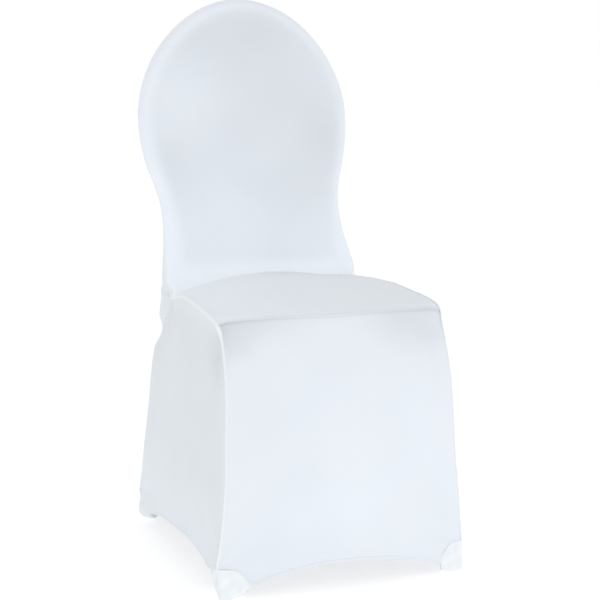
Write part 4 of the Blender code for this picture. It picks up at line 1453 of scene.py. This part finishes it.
def group_node(tree, name, make, values):
    """Node of a shared group, which is made the first time, with its inputs fed."""
    node = tree.nodes.new("ShaderNodeGroup")
    node.node_tree = bpy.data.node_groups.get(name) or make(name)
    return feed_inputs(tree, node, values)


def new_material(name, values):
    """New material with the inputs of its shader set, and its node tree."""
    material = bpy.data.materials.new(name)
    material.use_nodes = True
    feed_inputs(material.node_tree, material.node_tree.nodes["Principled BSDF"], values)
    return material, material.node_tree


def cover_material(name):
    """Cloth of one of the cover's finishes, made once: its tone, its knit or puckers, and its stitches."""
    if name in bpy.data.materials:
        return bpy.data.materials[name]
    finish = FINISHES[name]
    material, tree = new_material(name, {
        "Metallic": 0.0, "Specular IOR Level": CLOTH_SPECULAR,
        "Sheen Weight": finish.sheen, "Sheen Roughness": SHEEN_ROUGHNESS})
    tone = group_node(tree, "Cloth Tone", tone_and_shade_group, {
        "First": (*finish.tone, 1.0), "Second": (*finish.soft_tone, 1.0), "Scale": TONE_SCALE})
    if finish.knitted:
        height = group_node(tree, "Stretch Knit", knit_group, {"Pitch": KNIT_PITCH}).outputs["Height"]
    else:
        height = object_noise(tree, {"Scale": PUCKER_SCALE})
    bump = new_node(tree, "Bump", {"Distance": finish.rise, "Strength": KNIT_STRENGTH, "Height": height})
    if finish.stitched:
        stitches = group_node(tree, "Hem Stitches", stitch_group, {"Distance": HEM_DEPTH + STITCH_WIDTH})
        bump = new_node(tree, "Bump", {"Distance": STITCH_DEPTH, "Height": stitches.outputs["Height"],
                                       "Normal": bump.outputs["Normal"]})
        bump.invert = True
    feed_inputs(tree, tree.nodes["Principled BSDF"], {
        "Base Color": tone.outputs["Colour"], "Roughness": tone.outputs["Roughness"],
        "Normal": bump.outputs["Normal"]})
    return material


def floor_material():
    """Nearly white studio floor with a faint change of tone and a weak glow, as of a lit table."""
    material, tree = new_material("pale studio floor", {
        "Roughness": FLOOR_ROUGHNESS, "Specular IOR Level": 0.0,
        "Emission Color": WHITE, "Emission Strength": FLOOR_GLOW})
    clouds = object_noise(tree, {"Scale": FLOOR_SCALE})
    tone = colour_mix(tree, clouds, (*FLOOR_TONE, 1.0), (*FLOOR_TONE_SOFT, 1.0))
    feed_inputs(tree, tree.nodes["Principled BSDF"], {"Base Color": tone})
    return material


def sky_world(strength):
    """Even light from all sides, shown as plain white behind the cover."""
    world = bpy.data.worlds.new("white studio")
    world.use_nodes = True
    tree = world.node_tree
    light = feed_inputs(tree, tree.nodes["Background"], {"Color": WHITE, "Strength": strength})
    shown = new_node(tree, "Background", {"Color": WHITE, "Strength": 1.0})
    rays = tree.nodes.new("ShaderNodeLightPath")
    mix = new_node(tree, "MixShader", {"Fac": rays.outputs["Is Camera Ray"]})
    feed(tree, mix.inputs[1], light.outputs["Background"])
    feed(tree, mix.inputs[2], shown.outputs["Background"])
    feed_inputs(tree, tree.nodes["World Output"], {"Surface": mix.outputs["Shader"]})
    return world


def add_light(kind, name, place, aim, energy):
    """Light at a place, turned to what it is aimed at."""
    bpy.ops.object.light_add(type=kind, location=place)
    light = bpy.context.object
    light.name = name
    light.data.energy = energy
    light.rotation_euler = (Vector(place) - Vector(aim)).to_track_quat("Z", "Y").to_euler()
    return light.data


def camera_matrix():
    """Placement of the camera from its position and its turns."""
    yaw, pitch, roll = [math.radians(turn) for turn in (CAMERA_YAW, CAMERA_PITCH, CAMERA_ROLL)]
    forward = Vector((math.sin(yaw) * math.cos(pitch), math.cos(yaw) * math.cos(pitch), -math.sin(pitch)))
    right = Vector((math.cos(yaw), -math.sin(yaw), 0.0))
    up = right.cross(forward)
    rolled_right = right * math.cos(roll) + up * math.sin(roll)
    rolled_up = up * math.cos(roll) - right * math.sin(roll)
    matrix = Matrix((rolled_right, rolled_up, -forward)).transposed().to_4x4()
    matrix.translation = Vector(CAMERA_PLACE)
    return matrix


def dressed(piece):
    """A piece that moves with the part, attached to its root body; a piece without faces raises an error."""
    if not piece.data.polygons:
        raise RuntimeError(f"{piece.name} has no faces")
    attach(piece, "root")
    return piece


class CoverSettings(bpy.types.PropertyGroup):
    """Sizes of the cloth that can be changed before its pieces are made."""
    thickness: bpy.props.FloatProperty(
        name="Cloth thickness", description="Thickness of the stretch knit",
        default=0.0014, min=0.0005, max=0.003, unit="LENGTH")
    spacing: bpy.props.FloatProperty(
        name="Point spacing", description="Distance between the points of a sheet along its length",
        default=0.007, min=0.003, max=0.02, unit="LENGTH")
    waviness: bpy.props.FloatProperty(
        name="Unevenness", description="Height of the soft waves all over the cloth",
        default=CLOTH_WAVINESS, min=0.0, max=0.004, unit="LENGTH")
    seam_share: bpy.props.FloatProperty(
        name="Seam height", description="Height of the long seams, as a share of their usual height",
        default=1.0, min=0.0, max=2.0, subtype="FACTOR")


class StageSettings(bpy.types.PropertyGroup):
    """Camera and light of the stage."""
    lens: bpy.props.FloatProperty(
        name="Lens", description="Focal length of the camera in millimetres",
        default=92.28, min=20.0, max=300.0)
    key_strength: bpy.props.FloatProperty(
        name="Main light", description="Power in watts of the low soft light from the front right",
        default=2.7, min=0.0, max=100.0)
    fill_strength: bpy.props.FloatProperty(
        name="Fill light", description="Strength of the weaker light from the left",
        default=0.04, min=0.0, max=10.0)
    sky_strength: bpy.props.FloatProperty(
        name="Surrounding light", description="Strength of the even light from all sides",
        default=0.85, min=0.0, max=5.0)


class CHAIRCOVER_OT_seams(bpy.types.Operator):
    """Make the bands over the cover's long seams"""
    bl_idname = "chaircover.seams"
    bl_label = "Long Seams"

    def execute(self, context):
        for seam in make_seams(context.scene.cover_settings):
            dressed(seam)
        return {"FINISHED"}


class CHAIRCOVER_OT_front_cloth(bpy.types.Operator):
    """Make the front cloth of skirt, seat and hood"""
    bl_idname = "chaircover.front_cloth"
    bl_label = "Front Cloth"

    def execute(self, context):
        piece = dressed(make_front(context.scene.cover_settings, cover_material("white stretch knit")))
        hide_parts("front_skirt", "seat_top", "hood_front")
        return {"FINISHED"}


class CHAIRCOVER_OT_back_cloth(bpy.types.Operator):
    """Make the back cloth of hood and skirt"""
    bl_idname = "chaircover.back_cloth"
    bl_label = "Back Cloth"

    def execute(self, context):
        piece = dressed(make_back(context.scene.cover_settings, cover_material("white stretch knit")))
        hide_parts("back_panel")
        return {"FINISHED"}


class CHAIRCOVER_OT_side_cloths(bpy.types.Operator):
    """Make the two side cloths of the skirt"""
    bl_idname = "chaircover.side_cloths"
    bl_label = "Side Cloths"

    def execute(self, context):
        pieces = make_sides(context.scene.cover_settings, cover_material("white stretch knit"))
        for piece, (place, _) in zip(pieces, SIDES):
            dressed(piece)
            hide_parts(f"side_panel_{place}")
        return {"FINISHED"}


class CHAIRCOVER_OT_foot_pockets(bpy.types.Operator):
    """Make the four foot pockets and their seams"""
    bl_idname = "chaircover.foot_pockets"
    bl_label = "Foot Pockets"

    def execute(self, context):
        for pocket in POCKETS:
            piece, band = make_pocket(pocket, context.scene.cover_settings,
                                      cover_material("white pocket cloth"),
                                      cover_material("seam band with painted highlight"))
            dressed(piece)
            dressed(band)
            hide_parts(f"foot_pocket_{pocket.place}")
        return {"FINISHED"}


class CHAIRCOVER_OT_stage(bpy.types.Operator):
    """Make the pale floor, the soft light and the camera"""
    bl_idname = "chaircover.stage"
    bl_label = "Stage"

    def execute(self, context):
        settings = context.scene.stage_settings
        bpy.ops.object.select_all(action="DESELECT")
        bpy.ops.mesh.primitive_plane_add(size=FLOOR_SIZE, location=(0.0, 0.0, 0.0))
        floor = context.object
        floor.name = "studio_floor"
        floor.data.materials.append(floor_material())
        key = add_light("AREA", "main_light", KEY_PLACE, KEY_AIM, settings.key_strength)
        key.size = KEY_SIZE
        fill = add_light("SUN", "fill_light", FILL_PLACE, (0.0, 0.0, 0.0), settings.fill_strength)
        fill.angle = FILL_ANGLE
        context.scene.world = sky_world(settings.sky_strength)
        bpy.ops.object.camera_add()
        camera = context.object
        camera.name = "photo_camera"
        camera.matrix_world = camera_matrix()
        camera.data.sensor_width = SENSOR_WIDTH
        camera.data.lens = settings.lens
        context.scene.camera = camera
        context.scene.view_settings.view_transform = "Standard"
        return {"FINISHED"}


class CHAIRCOVER_PT_panel(bpy.types.Panel):
    """Sidebar panel with every step of the chair cover"""
    bl_idname = "CHAIRCOVER_PT_panel"
    bl_label = "Banquet Chair Cover"
    bl_space_type = "VIEW_3D"
    bl_region_type = "UI"
    bl_category = "Chair Cover"

    def draw(self, context):
        for name in ("thickness", "spacing", "waviness", "seam_share"):
            self.layout.prop(context.scene.cover_settings, name)
        for operator in OPERATORS:
            self.layout.operator(operator.bl_idname)
        for name in ("lens", "key_strength", "fill_strength", "sky_strength"):
            self.layout.prop(context.scene.stage_settings, name)


OPERATORS = (
    CHAIRCOVER_OT_seams,
    CHAIRCOVER_OT_front_cloth,
    CHAIRCOVER_OT_back_cloth,
    CHAIRCOVER_OT_side_cloths,
    CHAIRCOVER_OT_foot_pockets,
    CHAIRCOVER_OT_stage,
)
CLASSES = (CoverSettings, StageSettings) + OPERATORS + (CHAIRCOVER_PT_panel,)


def register():
    """Add the settings, steps and panel to Blender."""
    for cls in CLASSES:
        bpy.utils.register_class(cls)
    bpy.types.Scene.cover_settings = bpy.props.PointerProperty(type=CoverSettings)
    bpy.types.Scene.stage_settings = bpy.props.PointerProperty(type=StageSettings)


def unregister():
    """Take them away again."""
    del bpy.types.Scene.stage_settings
    del bpy.types.Scene.cover_settings
    for cls in reversed(CLASSES):
        bpy.utils.unregister_class(cls)


def main():
    """Make the whole scene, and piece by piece."""
    register()
    bpy.ops.chaircover.seams()
    bpy.ops.chaircover.front_cloth()
    bpy.ops.chaircover.back_cloth()
    bpy.ops.chaircover.side_cloths()
    bpy.ops.chaircover.foot_pockets()
    bpy.ops.chaircover.stage()


if __name__ == "__main__":
    main()
